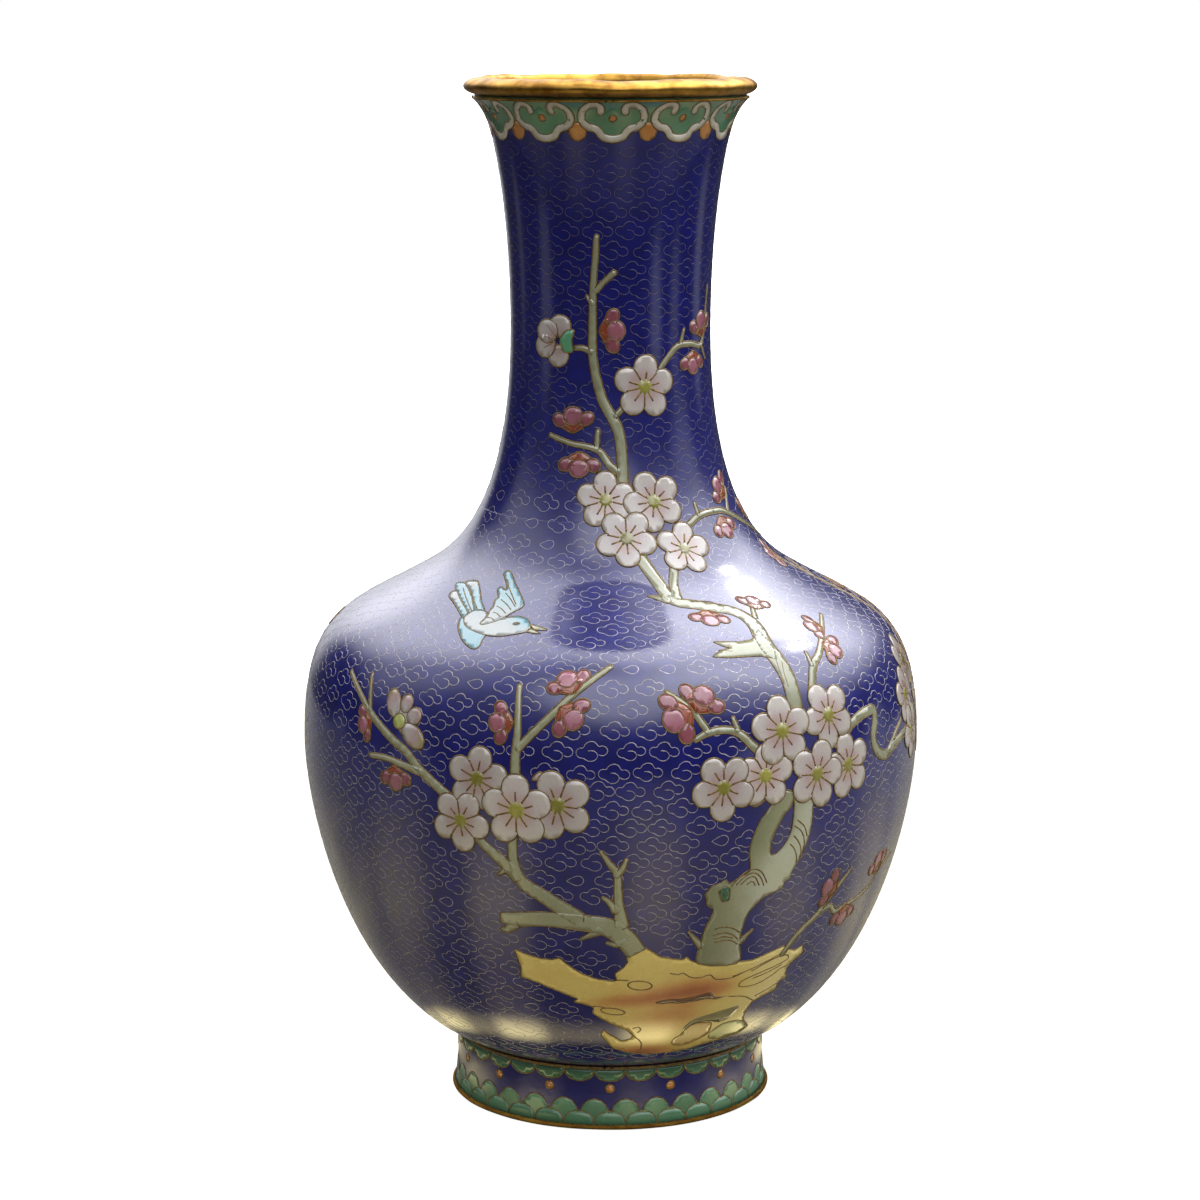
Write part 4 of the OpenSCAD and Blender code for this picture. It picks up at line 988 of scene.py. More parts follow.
# ---------------------------------------------------------------- the cloud ground
SCROLL = [(-0.9, 0.25), (0.3, 0.2), (1.1, -0.4), (1.15, -1.2), (0.5, -1.9), (-0.5, -2.1), (-1.4, -1.75),
          (-1.9, -1.35), (-2.9, -1.1), (-3.5, -0.3), (-3.3, 0.6), (-2.5, 1.0), (-1.8, 0.95), (-1.4, 1.7),
          (-0.4, 2.25), (0.7, 2.15), (1.35, 1.4), (1.6, 1.0), (2.5, 1.15), (3.4, 0.5), (3.4, -0.4),
          (2.7, -0.95), (1.9, -0.95), (1.4, -0.7)]
DROP = [(-2.2, 0.1), (-1.0, 0.7), (0.3, 1.2), (1.4, 1.0), (1.9, 0.1), (1.4, -0.9), (0.3, -1.3), (-0.9, -0.8),
        (-2.2, 0.1)]
CLOUD_BREADTH = 0.4
CLOUD_RISE = 0.03
CLOUD_LOW = -0.05
CLOUD_TURN = 6
CLOUD_SIZES = (0.93, 1.05)
CLOUD_HIDDEN = 0.55
SHORTEST_WIRE = 3
DROP_SHARE = 0.05


def cloud_rows(low, high, row, pitch):
    """Places of a brick lattice of scrolls between two runs up the body: (azimuth, run)."""
    rows = int((high - low) / row)
    for k in range(rows + 1):
        run = low + k * (high - low) / rows
        count = int(round(2 * math.pi * float(BODY.radius(run)) / pitch))
        first = rng.uniform(0, 360 / count) * 0.15 + (180 / count if k % 2 else 0)
        for j in range(count):
            yield first + 360 * j / count + rng.uniform(-0.5, 0.5), run + rng.uniform(-0.25, 0.25)


def cloud_ground(zones):
    """Fills the blue ground with cloud scrolls, cut off where the decoration starts."""
    shape = resampled(spline(SCROLL, 4), 0.5)
    drop = resampled(spline(DROP, 5), 0.5)
    placed = []
    for heap, low, high, row, pitch, fit in zones:
        for azimuth, run in cloud_rows(low, high, row, pitch):
            turn, size = rng.uniform(-CLOUD_TURN, CLOUD_TURN), fit * rng.uniform(*CLOUD_SIZES)
            path = drop if rng.random() < DROP_SHARE else shape
            c, s = toward(turn)
            flat = size * path @ np.array([[c, s], [-s, c]]) + [0, run]
            placed.append((heap, BODY.rolled(flat, azimuth), path is drop))
    spots = np.vstack([p[1] for p in placed])
    covered = np.zeros(len(spots), bool)
    for cell in cells:
        if cell.wall is BODY:
            covered |= cell.covers(spots)
    covered |= spots[:, 1] > BORDER_RUN
    at = 0
    for heap, path, is_drop in placed:
        mask = covered[at:at + len(path)]
        at += len(path)
        if mask.mean() > CLOUD_HIDDEN or (is_drop and mask.any()):
            continue
        for a, b in split_runs(mask):
            if b - a > SHORTEST_WIRE:
                ribbon(heap, BODY, path[a:b], CLOUD_BREADTH, CLOUD_LOW, CLOUD_RISE)


# ---------------------------------------------------------------- materials
def linear(r, g, b):
    """An sRGB colour, 0 to 255, as the shader's linear numbers."""
    out = [(v / 255 / 12.92) if v <= 10 else ((v / 255 + 0.055) / 1.055) ** 2.4 for v in (r, g, b)]
    return (*out, 1.0)


def plugged(tree, node, inputs):
    """Sets a node's inputs to values, or links them to sockets."""
    for key, value in inputs.items():
        if isinstance(value, bpy.types.NodeSocket):
            tree.links.new(value, node.inputs[key])
        else:
            node.inputs[key].default_value = value


def node_of(tree, kind, inputs, **settings):
    """A new shader node with its settings and inputs."""
    node = tree.nodes.new("ShaderNode" + kind)
    for name, value in settings.items():
        setattr(node, name, value)
    plugged(tree, node, inputs)
    return node


def shader(name):
    material = bpy.data.materials.new(name)
    material.use_nodes = True
    tree = material.node_tree
    tree.nodes.clear()
    surface = node_of(tree, "BsdfPrincipled", {})
    node_of(tree, "OutputMaterial", {"Surface": surface.outputs[0]})
    return material, tree, surface


def noise(tree, scale, detail=3.0, rough=0.55):
    """A noise texture in the object's own coordinates; scale is in features per metre."""
    where = node_of(tree, "TexCoord", {}).outputs["Object"]
    inputs = {"Vector": where, "Scale": scale, "Detail": detail, "Roughness": rough}
    return node_of(tree, "TexNoise", inputs).outputs["Fac"]


def ramp(tree, factor, stops):
    node = node_of(tree, "ValToRGB", {"Fac": factor})
    while len(node.color_ramp.elements) < len(stops):
        node.color_ramp.elements.new(0.5)
    for element, (at, colour) in zip(node.color_ramp.elements, stops):
        element.position = at
        element.color = colour
    return node.outputs["Color"]


def math_node(tree, kind, *values):
    """The result of a sum on numbers and sockets."""
    return node_of(tree, "Math", dict(enumerate(values)), operation=kind).outputs[0]


def vector_node(tree, kind, inputs):
    return node_of(tree, "VectorMath", inputs, operation=kind).outputs


def mixed(tree, factor, a, b, kind="MIX"):
    return node_of(tree, "Mix", {0: factor, 6: a, 7: b}, data_type="RGBA", blend_type=kind).outputs[2]


def bumped(tree, surface, height, distance, strength=0.5):
    bump = node_of(tree, "Bump", {"Strength": strength, "Distance": distance, "Height": height})
    plugged(tree, surface, {"Normal": bump.outputs["Normal"]})


def grey(value):
    return (value, value, value, 1)


def roughened(tree, surface, factor, low, high):
    """Roughness that runs between two values with a noise."""
    plugged(tree, surface, {"Roughness": ramp(tree, factor, [(0.3, grey(low)), (0.75, grey(high))])})


ENAMEL_ROUGHNESS = 0.22
ENAMEL_IOR = 1.6
COAT_ROUGHNESS = 0.12
MOTTLE = 0.25
TONE_RANGE = 0.22
PIT_SHARE = 0.5
ENAMEL_WAVES = 0.00018
METAL_WAVES = 0.00012
FULL_COAT, DULL_COAT = 1.0, 0.15

# how far the mottling runs along the ramp, the coat's weight, and the ramp as (place, red, green, blue)
ENAMELS = {
    "cobalt": (0.5, FULL_COAT, (0.0, 8, 9, 66), (0.45, 13, 15, 96), (0.6, 18, 21, 114), (1.0, 36, 42, 150)),
    # the foot's cobalt is the body's cobalt with a darker, duller ramp, which is painted shade, and a thin
    # coat
    "foot_cobalt_painted_shade": (0.5, DULL_COAT, (0.0, 10, 11, 62), (0.45, 15, 17, 90), (0.6, 20, 23, 106),
                    (1.0, 36, 42, 140)),
    "white": (0.3, FULL_COAT, (0.0, 158, 152, 102), (0.24, 176, 156, 140), (0.4, 180, 156, 154),
              (0.6, 186, 176, 172), (0.8, 192, 185, 177), (1.0, 190, 182, 172)),
    "eye": (0.16, FULL_COAT, (0.0, 122, 116, 34), (1.0, 150, 146, 58)),
    "pink": (0.6, FULL_COAT, (0.0, 120, 58, 68), (0.5, 146, 80, 92), (1.0, 166, 110, 126)),
    "rust": (0.7, FULL_COAT, (0.0, 120, 36, 24), (1.0, 172, 72, 44)),
    "bark": (0.35, FULL_COAT, (0.0, 124, 128, 94), (0.5, 150, 152, 120), (1.0, 182, 186, 164)),
    "knot": (0.4, FULL_COAT, (0.0, 34, 84, 60), (1.0, 60, 110, 80)),
    "green": (0.2, FULL_COAT, (0.0, 70, 140, 104), (0.6, 96, 160, 116), (0.8, 172, 184, 96),
              (1.0, 196, 196, 138)),
    "ochre": (0.2, FULL_COAT, (0.0, 236, 220, 148), (0.3, 226, 202, 112), (0.55, 208, 156, 84),
              (0.8, 186, 118, 64), (1.0, 150, 84, 40)),
    "ochre_dark": (0.3, FULL_COAT, (0.0, 214, 190, 116), (0.5, 178, 112, 54), (1.0, 150, 88, 44)),
    # dark brown for the rock's crack, olive at its upper end for the rock's patch of painted shade
    "crack": (0.4, FULL_COAT, (0.0, 74, 46, 26), (0.6, 104, 66, 36), (1.0, 132, 128, 82)),
    "ruyi_green": (0.6, FULL_COAT, (0.0, 74, 126, 92), (1.0, 102, 152, 112)),
    "ruyi_white": (0.3, FULL_COAT, (0.0, 188, 180, 160), (1.0, 208, 202, 184)),
    "amber": (0.5, FULL_COAT, (0.0, 184, 112, 40), (1.0, 214, 150, 74)),
    "scale": (0.25, DULL_COAT, (0.0, 44, 88, 62), (0.7, 72, 118, 86), (1.0, 100, 142, 106)),
    "pale_scale": (0.25, DULL_COAT, (0.0, 54, 98, 70), (0.7, 84, 130, 96), (1.0, 114, 156, 120)),
    "bird": (0.2, FULL_COAT, (0.0, 92, 152, 170), (0.4, 122, 166, 174), (0.8, 154, 166, 166),
             (1.0, 170, 174, 170)),
    "dark": (0.16, FULL_COAT, (0.0, 60, 48, 38), (1.0, 84, 68, 54)),
    "lining": (0.9, FULL_COAT, (0.0, 60, 130, 136), (1.0, 110, 176, 176)),
}
# light and worn colour, roughness, features per metre, metallic, and how far wear roughens it
METALS = {
    "gilt": ((206, 160, 74), (146, 102, 40), 0.42, 160, 1.0, 0.25),
    # the foot rim's gilt is the lip's gilt made lighter and partly dull: painted light
    "foot_gilt_painted_light": ((214, 168, 72), (160, 114, 40), 0.45, 160, 0.4, 0.25),
    "motif_wire": ((146, 120, 74), (104, 82, 46), 0.42, 900, 0.45, 0.5),
    "cloud_wire": ((190, 184, 188), (136, 130, 136), 0.36, 900, 0.55, 0.5),
    # the neck's cloud wire is the belly's cloud wire made darker: painted shade
    "neck_cloud_wire_painted_shade": ((126, 120, 134), (88, 84, 98), 0.36, 900, 0.7, 0.5),
    "copper": ((196, 120, 84), (120, 66, 44), 0.4, 300, 1.0, 0.5),
}


def enamel(key):
    """Glossy fired enamel: its colour runs with the cell's tag, mottled, pitted and softly wavy."""
    spread, coat, *stops = ENAMELS[key]
    material, tree, surface = shader(key + "_enamel")
    attribute = node_of(tree, "Attribute", {}, attribute_name="cell")
    parts = node_of(tree, "SeparateColor", {"Color": attribute.outputs["Color"]})
    shifted = math_node(tree, "MULTIPLY_ADD", noise(tree, 260, 4), spread, -spread / 2)
    factor = math_node(tree, "ADD", parts.outputs["Red"], shifted)
    colour = ramp(tree, factor, [(at, linear(*rgb)) for at, *rgb in stops])
    tone = math_node(tree, "MULTIPLY_ADD", parts.outputs["Green"], TONE_RANGE, 1 - TONE_RANGE / 2)
    fine = math_node(tree, "MULTIPLY_ADD", noise(tree, 1500, 3, 0.7), MOTTLE, 1 - MOTTLE / 2)
    strength = math_node(tree, "MULTIPLY", tone, fine)
    shade = node_of(tree, "CombineColor", {k: strength for k in range(3)})
    colour = mixed(tree, 1.0, colour, shade.outputs[0], "MULTIPLY")
    pits = ramp(tree, noise(tree, 2600, 2, 0.6), [(0.28, grey(0.35)), (0.34, grey(1))])
    colour = mixed(tree, PIT_SHARE, colour, mixed(tree, 1.0, colour, pits, "MULTIPLY"))
    roughened(tree, surface, noise(tree, 90, 3), ENAMEL_ROUGHNESS * 0.8, ENAMEL_ROUGHNESS * 1.35)
    plugged(tree, surface, {"Base Color": colour, "IOR": ENAMEL_IOR, "Coat Weight": coat,
                            "Coat IOR": ENAMEL_IOR, "Coat Roughness": COAT_ROUGHNESS})
    wavy = math_node(tree, "MULTIPLY_ADD", noise(tree, 700, 2, 0.5), 0.25, 0.0)
    bumped(tree, surface, math_node(tree, "ADD", noise(tree, 120, 2, 0.5), wavy), ENAMEL_WAVES, 0.6)
    return material


def metal(key):
    """Gilt, copper or wire: worn colour, fine scratches and a little waviness."""
    light, dark, roughness, scale, metallic, wear = METALS[key]
    material, tree, surface = shader(key)
    worn = ramp(tree, noise(tree, scale, 5, 0.65), [(0.38, linear(*dark)), (0.62, linear(*light))])
    plugged(tree, surface, {"Base Color": worn, "Metallic": metallic})
    roughened(tree, surface, noise(tree, scale * 1.7, 3), roughness * 0.7, roughness * (1 + wear))
    bumped(tree, surface, noise(tree, scale * 2.2, 4, 0.6), METAL_WAVES)
    return material


def make_materials():
    made = {key: enamel(key) for key in ENAMELS}
    made.update({key: metal(key) for key in METALS})
    return made


# ---------------------------------------------------------------- build the enamel, wires and metal
def draw_everything():
    """Every motif, in the order that the random draws depend on."""
    neck_spray()
    shoulder_spray()
    right_spray()
    left_spray()
    rock()
    trunk()
    bird()
    right_edge()
    back_neck()
    side_spray(146, 104, False, "back", 12)
    side_spray(-166, 98, True, "back", 33)
    side_spray(-122, 100, True, "back", 51)
    ruyi_border()
    foot_pattern()


# each piece's enamel, its slot and the CAD nodes it stands for
PIECES = {
    "neck_bud_petals": ("pink", "pink_enamel", "neck_buds"),
    "belly_bud_petals": ("pink", "pink_enamel", "belly_buds"),
    "neck_calyxes": ("rust", "pink_enamel"),
    "belly_calyxes": ("rust", "pink_enamel"),
    "neck_stems": ("bark", "bark_enamel", "neck_twigs"),
    "shoulder_stems": ("bark", "bark_enamel", "shoulder_branch"),
    "right_stems": ("bark", "bark_enamel"),
    "left_stems": ("bark", "bark_enamel", "left_branch"),
    "side_stems": ("bark", "bark_enamel"),
    "back_stems": ("bark", "bark_enamel", "back_branch"),
    "trunk_stems": ("bark", "bark_enamel"),
    "trunk_bark": ("bark", "bark_enamel", "plum_trunk"),
    "trunk_knot": ("knot", "green_enamel"),
    "neck_leaves": ("green", "green_enamel"),
    "right_leaves": ("green", "green_enamel"),
    "left_leaves": ("green", "green_enamel"),
    "rock_body": ("ochre", "ochre_enamel", "garden_rock"),
    "rock_middle": ("ochre_dark", "ochre_enamel"),
    "rock_cracks": ("crack", "ochre_enamel"),
    "rock_greens": ("green", "green_enamel"),
    "bird_tail_white": ("bird", "white_enamel"),
    "bird_tail_blue": ("bird", "turquoise_enamel", "bird_tail"),
    "bird_far_wing": ("bird", "turquoise_enamel"),
    "bird_body_white": ("bird", "white_enamel", "bird_body"),
    "bird_wing_cell": ("bird", "turquoise_enamel", "bird_wings"),
    "bird_beak": ("bark", "bark_enamel"),
    "bird_eye": ("dark", "ochre_enamel"),
    "ruyi_greens": ("ruyi_green", "green_enamel", "ruyi_fills"),
    "ruyi_bands": ("ruyi_white", "white_enamel", "ruyi_outlines"),
    "ruyi_amber_dots": ("amber", "amber_enamel", "ruyi_dots"),
    "ruyi_amber_drops": ("amber", "amber_enamel", "ruyi_drops"),
    "foot_hanging_scales": ("scale", "green_enamel", "hanging_scales"),
    "foot_tall_scales": ("pale_scale", "pale_green_enamel", "upper_scales"),
    "foot_low_scales": ("pale_scale", "green_enamel", "lower_scales"),
    "foot_amber_dots": ("amber", "amber_enamel", "foot_dots"),
}
for zone in ("neck", "shoulder", "right", "left", "side", "back"):
    carried = [] if zone == "side" else [zone + "_blossoms", zone + "_eyes"]
    PIECES[zone + "_petals"] = ("white", "white_enamel", *carried[:1])
    PIECES[zone + "_hearts"] = ("eye", "eye_enamel", *carried[1:])

BORDER_RUN = run_of(243.2)
SEAM_RUN = run_of(149)
BOWL_SEAM_RUN = run_of(60)
CLOUD_BANDS = ["low_belly", "belly", "high_belly", "shoulder", "neck_root"]
CLOUD_MARKS = [8.0, *(run_of(z) for z in (62, 96, 122, 142, 155))]
CLOUD_GAP, CLOUD_ROW, CLOUD_PITCH = 2.1, 4.15, 8.2
NECK_GAP, NECK_TOP_GAP, NECK_ROW, NECK_PITCH, NECK_FIT = 2.3, 7.0, 4.6, 7.9, 1.02
LIP_RADIUS, LIP_BREADTH, LIP_RISE = 33.0, 2.7, 2.3
LIP_DROOP = 0.25
RING_SEGMENTS = 360
LIP_WIRE_RUN = run_of(248.6)
LIP_WAVES, RIM_WAVES = (0.16, 0.34), (0.1, 0.1)
RIM_INSIDE, RIM_EDGE = 36.3, 40.3
WIRE_ROOT = -0.2
LIP_BAND_GAP, FOOT_GROUND_GAP, FOOT_LINING_GAP = 1.0, 0.3, 0.6


def build_cells(materials):
    """One piece for each kind of cell in each part of the decoration."""
    heaps = {}
    for cell in cells:
        fill_cell(heaps.setdefault(cell.piece, Heap()), cell)
    for name, heap in heaps.items():
        material, slot, *nodes = PIECES[name]
        heap.build(name, materials[material], slot, *nodes)


def build_wires(materials):
    """The wires round the cells and inside them, one piece for each part of the decoration."""
    heaps = {}
    for cell in cells:
        if cell.wired:
            zone = cell.piece.split("_")[0]
            lay_wire(heaps.setdefault(zone, Heap()), cell.wall, cell.spots, cell.level, cell.group, cell)
    for spots, level, breadth, zone in lines:
        lay_wire(heaps.setdefault(zone, Heap()), BODY, spots, level, breadth=breadth, closed=False)
    for zone, heap in heaps.items():
        heap.build(zone + "_cell_wires", materials["motif_wire"], "wire")


def build_clouds(materials):
    """Cloud scrolls on the neck, its root, the shoulder, and three bands of the belly."""
    heaps = {name: Heap() for name in (*CLOUD_BANDS, "neck")}
    zones = [(heaps[name], low + CLOUD_GAP, high - CLOUD_GAP, CLOUD_ROW, CLOUD_PITCH, 1.0)
             for name, low, high in zip(CLOUD_BANDS, CLOUD_MARKS, CLOUD_MARKS[1:])]
    top = BORDER_RUN - NECK_TOP_GAP
    zones.append((heaps["neck"], CLOUD_MARKS[-1] + NECK_GAP, top, NECK_ROW, NECK_PITCH, NECK_FIT))
    cloud_ground(zones)
    for name, heap in heaps.items():
        # the neck's scrolls take the darker copy of the cloud wire, which is painted shade
        wire = materials["neck_cloud_wire_painted_shade" if name == "neck" else "cloud_wire"]
        heap.build(name + "_cloud_wires", wire, "wire")


END_STEP = 0.08
SKIN_STEP = 1.6


def wall_section(wall, low, high, outer, inner):
    """The section of a skin between two lifts, up the outside and down the inside, and its end bands."""
    middle = np.linspace(low + END_STEP, high - END_STEP, max(3, int((high - low) / SKIN_STEP)))
    rise = np.concatenate([[low], middle, [high]])
    fall = np.linspace(high, low, max(3, int((high - low) / (2.5 * SKIN_STEP))))
    section = np.vstack([wall.section(rise, outer), wall.section(fall, inner)])
    return section, (len(rise) - 1, len(section) - 1)


def build_skin(name, wall, low, high, outer, inner, material, slot, *nodes, segments=288):
    heap = Heap()
    section, ends = wall_section(wall, low, high, outer, inner)
    turned(heap, section, segments, creases=ends)
    return heap.build(name, material, slot, *nodes)


def uneven(radial, vertical, low, high, seed):
    """Small smooth waves round a ring, as hand filing leaves them; the ring's low edge stays level."""
    waves = random.Random(seed)
    parts = [(n, waves.uniform(0, 2 * math.pi), waves.uniform(0.4, 1.0) / n ** 0.5)
             for n in (3, 5, 8, 11, 17, 23, 31)]
    others = [(n, waves.uniform(0, 2 * math.pi), waves.uniform(0.4, 1.0) / n ** 0.5)
              for n in (4, 7, 10, 15, 21, 29)]

    def waver(angle, rings):
        a = sum(size * np.sin(n * angle + start) for n, start, size in parts)
        b = sum(size * np.sin(n * angle + start) for n, start, size in others)
        share = np.clip((rings[:, 1:2] - low) / (high - low), 0, 1)
        return radial * a * np.ones_like(share), vertical * (b - 1.6) * share
    return waver


def build_metal(materials):
    """Lip ring, foot rim and the two ring wires."""
    a = np.linspace(0, 2 * math.pi, 28, endpoint=False) - math.pi / 2
    rise = LIP_RISE * np.sin(a) / (1 + LIP_DROOP * np.cos(a))
    lip = np.column_stack([LIP_RADIUS + LIP_BREADTH * np.cos(a), HEIGHT - LIP_RISE + rise])
    heap = Heap()
    turned(heap, lip, RING_SEGMENTS, uneven(*LIP_WAVES, HEIGHT - 2 * LIP_RISE, HEIGHT, 3))
    heap.build("gilt_lip_ring", materials["gilt"], "gilt", "lip_ring")

    rim = np.array([[RIM_INSIDE, 0.0], [39.2, 0.0], [39.8, 0.1], [40.15, 0.35], [RIM_EDGE, 0.7],
                    [RIM_EDGE, RIM_TOP - 0.6], [40.1, RIM_TOP - 0.15], [39.7, RIM_TOP],
                    [RIM_INSIDE, RIM_TOP]])
    heap = Heap()
    turned(heap, rim, RING_SEGMENTS, uneven(*RIM_WAVES, 0, RIM_TOP, 5))
    # the foot rim takes the lighter copy of the gilt, which is painted light
    heap.build("gilt_foot_rim", materials["foot_gilt_painted_light"], "gilt", "foot_rim")

    ring_wire("gilt_lip_wire", BODY, LIP_WIRE_RUN, 0.7, 0.25, materials["gilt"], "lip_wire")
    ring_wire("gilt_belly_foot_wire", FOOT, FOOT_TOP - 0.35, 0.8, 0.32, materials["motif_wire"],
              "belly_foot_wire")


def ring_wire(name, wall, run, breadth, rise, material, node):
    """A wire all the way round a wall."""
    heap = Heap()
    spots = np.column_stack([np.linspace(0, 360, 288, endpoint=False), np.full(288, run)])
    ribbon(heap, wall, spots, breadth, WIRE_ROOT, rise, closed=True)
    heap.build(name, material, "wire", node)


def build_grounds(materials):
    """Blue grounds, the green lip band and the turquoise linings."""
    cobalt, lining = materials["cobalt"], materials["lining"]
    build_skin("cobalt_belly", BODY, 0, SEAM_RUN, 0, -ENAMEL, cobalt, "cobalt_enamel", "belly_ground")
    build_skin("cobalt_neck", BODY, SEAM_RUN, BORDER_RUN, 0, -ENAMEL, cobalt, "cobalt_enamel", "neck_ground")
    build_skin("green_lip_band", BODY, BORDER_RUN, BODY_END - LIP_BAND_GAP, 0, -ENAMEL,
               materials["ruyi_green"], "green_enamel", "lip_band")
    # the foot's ground takes the darker copy of the cobalt: painted shade
    build_skin("cobalt_foot", FOOT, RIM_TOP, FOOT_TOP - FOOT_GROUND_GAP, 0, -ENAMEL,
               materials["foot_cobalt_painted_shade"], "cobalt_enamel", "foot_ground")
    inside_from, inside_to = -ENAMEL - COPPER, -ENAMEL - COPPER - LINING
    build_skin("turquoise_neck", BODY, SEAM_RUN, BODY_END, inside_from, inside_to, lining, "lining_enamel",
               "neck_lining")
    build_skin("turquoise_shoulder", BODY, BOWL_SEAM_RUN, SEAM_RUN, inside_from, inside_to, lining,
               "lining_enamel", "shoulder_lining", segments=192)
    heap = Heap()
    runs = np.linspace(0, BOWL_SEAM_RUN, 40)
    outer, inner = BODY.section(runs, inside_from), BODY.section(runs[::-1], inside_to)
    turned(heap, np.vstack([[[0, outer[0, 1]]], outer, inner, [[0, inner[-1, 1]]]]), 192, capped=True)
    heap.build("turquoise_bowl", lining, "lining_enamel", "bowl_lining")
    heap = Heap()
    runs = np.linspace(RIM_TOP, FOOT_TOP - FOOT_LINING_GAP, 12)
    outer, inner = FOOT.section(runs, inside_from), FOOT.section(runs[::-1], inside_to)
    top = outer[-1, 1]
    inner = inner[inner[:, 1] < top - LINING]
    turned(heap, np.vstack([[[0, top - LINING]], [[inner[0, 0], top - LINING]], inner, outer, [[0, top]]]),
           192, capped=True)
    heap.build("turquoise_foot", lining, "lining_enamel", "foot_lining")


# ---------------------------------------------------------------- studio
CAMERA_DISTANCE = 0.81
CAMERA_HEIGHT = 0.2736
CAMERA_PITCH = 10.43
CAMERA_YAW = 0.182
CAMERA_LENS = 99.03
# the soft light all round: elevation and radiance, then glows of (azimuth, elevation, inner, outer, radiance)
SKY_COLUMN = [(-90, 0.03), (-12, 0.03), (0, 0.06), (14, 0.14), (30, 0.27), (48, 0.46), (64, 0.68), (84, 0.8)]
GLOWS = [(-164, 50, 10, 46, 1.7), (-106, 44, 6, 40, 0.55), (-128, 12, 8, 26, -0.3), (6, 46, 14, 36, 1.5),
         (56, 44, 8, 32, 0.8), (114, 54, 14, 46, 2.7), (84, 18, 4, 22, 0.5), (53, -6, 2, 9, 0.5),
         (78, -6, 2, 8, 0.3), (116, -7, 2, 9, 0.3), (-166, 13, 4, 26, 0.9), (146, 31, 4, 22, 0.9),
         (-78, -7, 3, 10, 0.25), (-120, -7, 2, 7, 0.2)]
# the table's reflection: distance from the axis and colour, dark under the belly, where the vase's shadow on
# the table is painted
CARD_RADIUS = 0.75
CARD_STRENGTH = 1.2
CARD_RINGS = [(0.0455, (0.01, 0.01, 0.008, 1)), (0.0485, (0.8, 0.68, 0.32, 1)),
              (0.054, (0.76, 0.64, 0.32, 1)), (0.061, (0.06, 0.05, 0.03, 1)), (0.085, (0.06, 0.05, 0.03, 1)),
              (0.13, (0.19, 0.16, 0.07, 1)), (0.3, (0.085, 0.075, 0.04, 1)), (0.74, (0.02, 0.02, 0.02, 1))]
# its streaks: azimuth, breadth and gain
CARD_STREAKS = [(-76, 16, 1.2), (-36, 14, 2.6), (14, 13, 2.2), (62, 14, 1.6), (106, 14, 1.4), (140, 20, 0.6)]
# warm light thrown up by the table, then the two lamps mirrored as sparks: azimuth and height on the body
BOUNCE = (0.46, 0.41, 0.3, 1)
SPARKS = [("spark_shoulder", 43.2, 137.3), ("spark_branch", 42.4, 125.4)]
SPARK_SIZE = (0.13, 0.07)
SPARK_DISTANCE = 1.6
FLOOR_RADIUS, DOME_RADIUS, BOUNCE_RADIUS = 12, 11.9, 0.5
BLACK, WHITE = (0, 0, 0, 1), (1, 1, 1, 1)
SPARK_RADIANCE = 60
SKY_TINT = (0.98, 0.99, 1.03)
DARKEST_SKY = 0.03


def aim(obj, target):
    obj.rotation_euler = (Vector(target) - obj.location).to_track_quat("-Z", "Y").to_euler()


def softbox(name, place, target, width, height, power):
    data = bpy.data.lights.new(name, "AREA")
    data.shape = "RECTANGLE"
    data.size, data.size_y, data.energy = width, height, power
    lamp = bpy.data.objects.new(name, data)
    lamp.location = place
    bpy.context.scene.collection.objects.link(lamp)
    aim(lamp, target)
    return lamp


def heading(azimuth, elevation):
    """A unit vector; azimuth 0 is the front, -Y, and grows towards +X."""
    turn, rise = math.radians(azimuth), math.radians(elevation)
    return (math.sin(turn) * math.cos(rise), -math.cos(turn) * math.cos(rise), math.sin(rise))


def glow_node(tree, direction, middle, inner, outer, amount):
    """Amount inside the inner angle round a direction, falling smoothly to nothing at the outer angle."""
    dot = vector_node(tree, "DOT_PRODUCT", {0: direction, 1: middle})["Value"]
    start, end = math.cos(math.radians(outer)), math.cos(math.radians(inner))
    inputs = {"Value": dot, "From Min": start, "From Max": end, "To Max": amount}
    return node_of(tree, "MapRange", inputs, interpolation_type="SMOOTHSTEP").outputs[0]


def make_sky():
    """A soft world light: brighter overhead, with broad glows where the photo's windows are."""
    world = bpy.data.worlds.new("studio")
    world.use_nodes = True
    tree = world.node_tree
    direction = node_of(tree, "TexCoord", {}).outputs["Generated"]
    parts = node_of(tree, "SeparateXYZ", {0: direction})
    rise = math_node(tree, "MULTIPLY_ADD", parts.outputs["Z"], 0.5, 0.5)
    stops = [((math.sin(math.radians(el)) + 1) / 2, grey(v)) for el, v in SKY_COLUMN]
    total = ramp(tree, rise, stops)
    for azimuth, elevation, *reach in GLOWS:
        glow = glow_node(tree, direction, heading(azimuth, elevation), *reach)
        total = math_node(tree, "ADD", total, glow)
    total = math_node(tree, "MAXIMUM", total, DARKEST_SKY)
    tinted = vector_node(tree, "SCALE", {0: SKY_TINT, "Scale": total})[0]
    plugged(tree, tree.nodes["Background"], {"Color": tinted})
    bpy.context.scene.world = world


def mirrored_lamp(name, azimuth, height, distance, size, radiance):
    """A small lamp placed so that the camera sees its reflection at one place on the body."""
    spot = np.array([[azimuth, run_of(height)]])
    point = BODY.place(spot, 0)[0]
    normal = (BODY.place(spot, 1)[0] - point) / MM
    eye = np.array([0, -CAMERA_DISTANCE, CAMERA_HEIGHT]) - point
    eye /= np.linalg.norm(eye)
    away = 2 * normal.dot(eye) * normal - eye
    return softbox(name, point + distance * away, point, *size, math.pi * size[0] * size[1] * radiance)


def staged(name, material, *hidden_from):
    """Puts the object just made on the stage, hidden from some kinds of ray."""
    thing = bpy.context.object
    thing.name = name
    thing.data.materials.append(material)
    for ray in hidden_from:
        setattr(thing, "visible_" + ray, False)


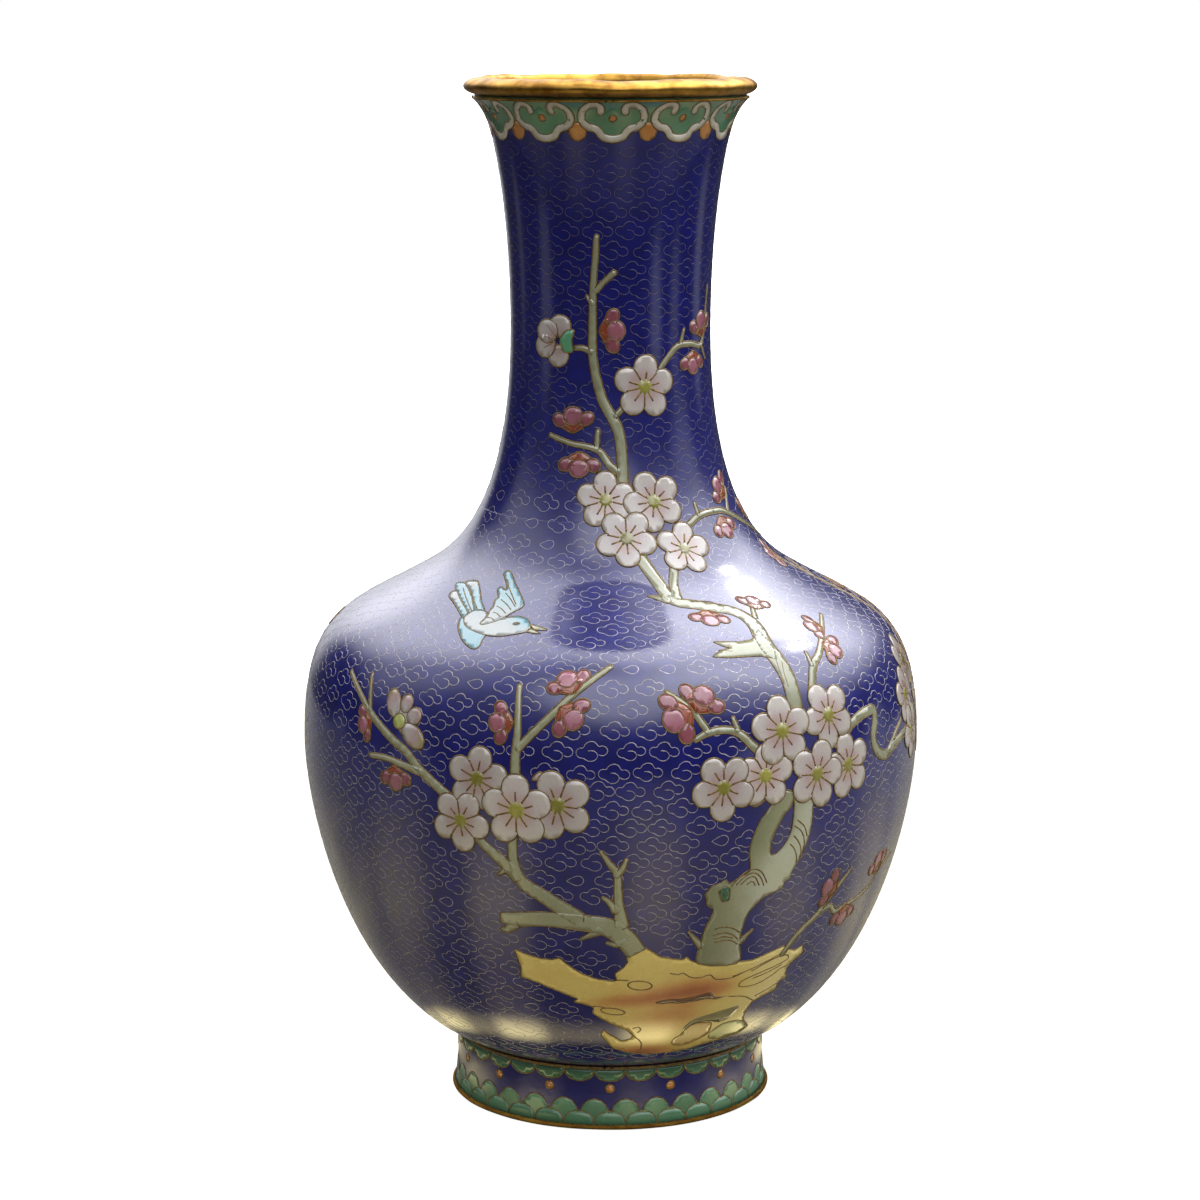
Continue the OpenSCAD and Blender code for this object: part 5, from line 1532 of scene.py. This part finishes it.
def staged_disc(name, material, radius, height, vertices, *hidden_from):
    """A level disc on the stage."""
    place = (0, 0, height)
    bpy.ops.mesh.primitive_circle_add(vertices=vertices, radius=radius, fill_type="NGON", location=place)
    staged(name, material, *hidden_from)


def make_floor():
    """A pale floor that carries the contact shadow and that only the camera sees."""
    pale, tree, surface = shader("pale_floor")
    mottled = ramp(tree, noise(tree, 3, 3), [(0.3, linear(246, 246, 246)), (0.7, linear(250, 250, 250))])
    plugged(tree, surface, {"Base Color": mottled, "Roughness": 0.8, "Emission Color": WHITE,
                            "Emission Strength": 0.85})
    staged_disc("floor", pale, FLOOR_RADIUS, 0, 96, "glossy", "diffuse")


def make_backdrop():
    """A white dome that only the camera sees."""
    white, tree, surface = shader("white_backdrop")
    plugged(tree, surface, {"Base Color": BLACK, "Specular IOR Level": 0, "Emission Color": WHITE,
                            "Emission Strength": 1.0})
    bpy.ops.mesh.primitive_uv_sphere_add(segments=96, ring_count=48, radius=DOME_RADIUS)
    staged("backdrop", white, "glossy", "diffuse", "shadow")


def make_warm_card():
    """The table as the enamel's reflections see it: rings round the foot and soft streaks."""
    warm, tree, surface = shader("warm_card")
    where = node_of(tree, "TexCoord", {}).outputs["Object"]
    distance = vector_node(tree, "LENGTH", {0: where})["Value"]
    outward = vector_node(tree, "NORMALIZE", {0: where})[0]
    share = math_node(tree, "DIVIDE", distance, CARD_RADIUS)
    rings = ramp(tree, share, [(at / CARD_RADIUS, colour) for at, colour in CARD_RINGS])
    gain = math_node(tree, "MULTIPLY", noise(tree, 14, 3), 1.4)
    for azimuth, breadth, amount in CARD_STREAKS:
        streak = glow_node(tree, outward, heading(azimuth, 0), 0, breadth, amount)
        gain = math_node(tree, "ADD", gain, streak)
    glow = vector_node(tree, "SCALE", {0: rings, "Scale": gain})[0]
    plugged(tree, surface, {"Base Color": BLACK, "Emission Color": glow, "Emission Strength": CARD_STRENGTH})
    staged_disc("warm_card", warm, CARD_RADIUS, 0.002, 64, "camera", "diffuse")


def make_bounce_card():
    """Warm light that the table throws up, on dull surfaces only."""
    bounce, tree, surface = shader("bounce_card")
    plugged(tree, surface, {"Base Color": BLACK, "Emission Color": BOUNCE, "Emission Strength": 1.0})
    staged_disc("bounce_card", bounce, BOUNCE_RADIUS, 0.001, 48, "camera", "glossy", "shadow")


def make_stage():
    bpy.context.scene.view_settings.view_transform = "Standard"
    make_floor()
    make_backdrop()
    make_warm_card()
    make_bounce_card()
    make_sky()
    for name, azimuth, height in SPARKS:
        mirrored_lamp(name, azimuth, height, SPARK_DISTANCE, SPARK_SIZE, SPARK_RADIANCE)


def make_camera():
    data = bpy.data.cameras.new("camera")
    data.lens = CAMERA_LENS
    data.sensor_width = 36
    camera = bpy.data.objects.new("camera", data)
    camera.location = (0, -CAMERA_DISTANCE, CAMERA_HEIGHT)
    camera.rotation_euler = tuple(math.radians(a) for a in (90 - CAMERA_PITCH, 0, CAMERA_YAW))
    bpy.context.scene.collection.objects.link(camera)
    bpy.context.scene.camera = camera


materials = make_materials()
draw_everything()
build_cells(materials)
build_wires(materials)
build_clouds(materials)
build_grounds(materials)
build_metal(materials)
for node in ("copper_bowl", "copper_shoulder", "copper_neck", "copper_foot"):
    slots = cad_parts[node].material_slots
    for k in range(len(slots)):
        slots[k].material = materials["copper"]
make_stage()
make_camera()
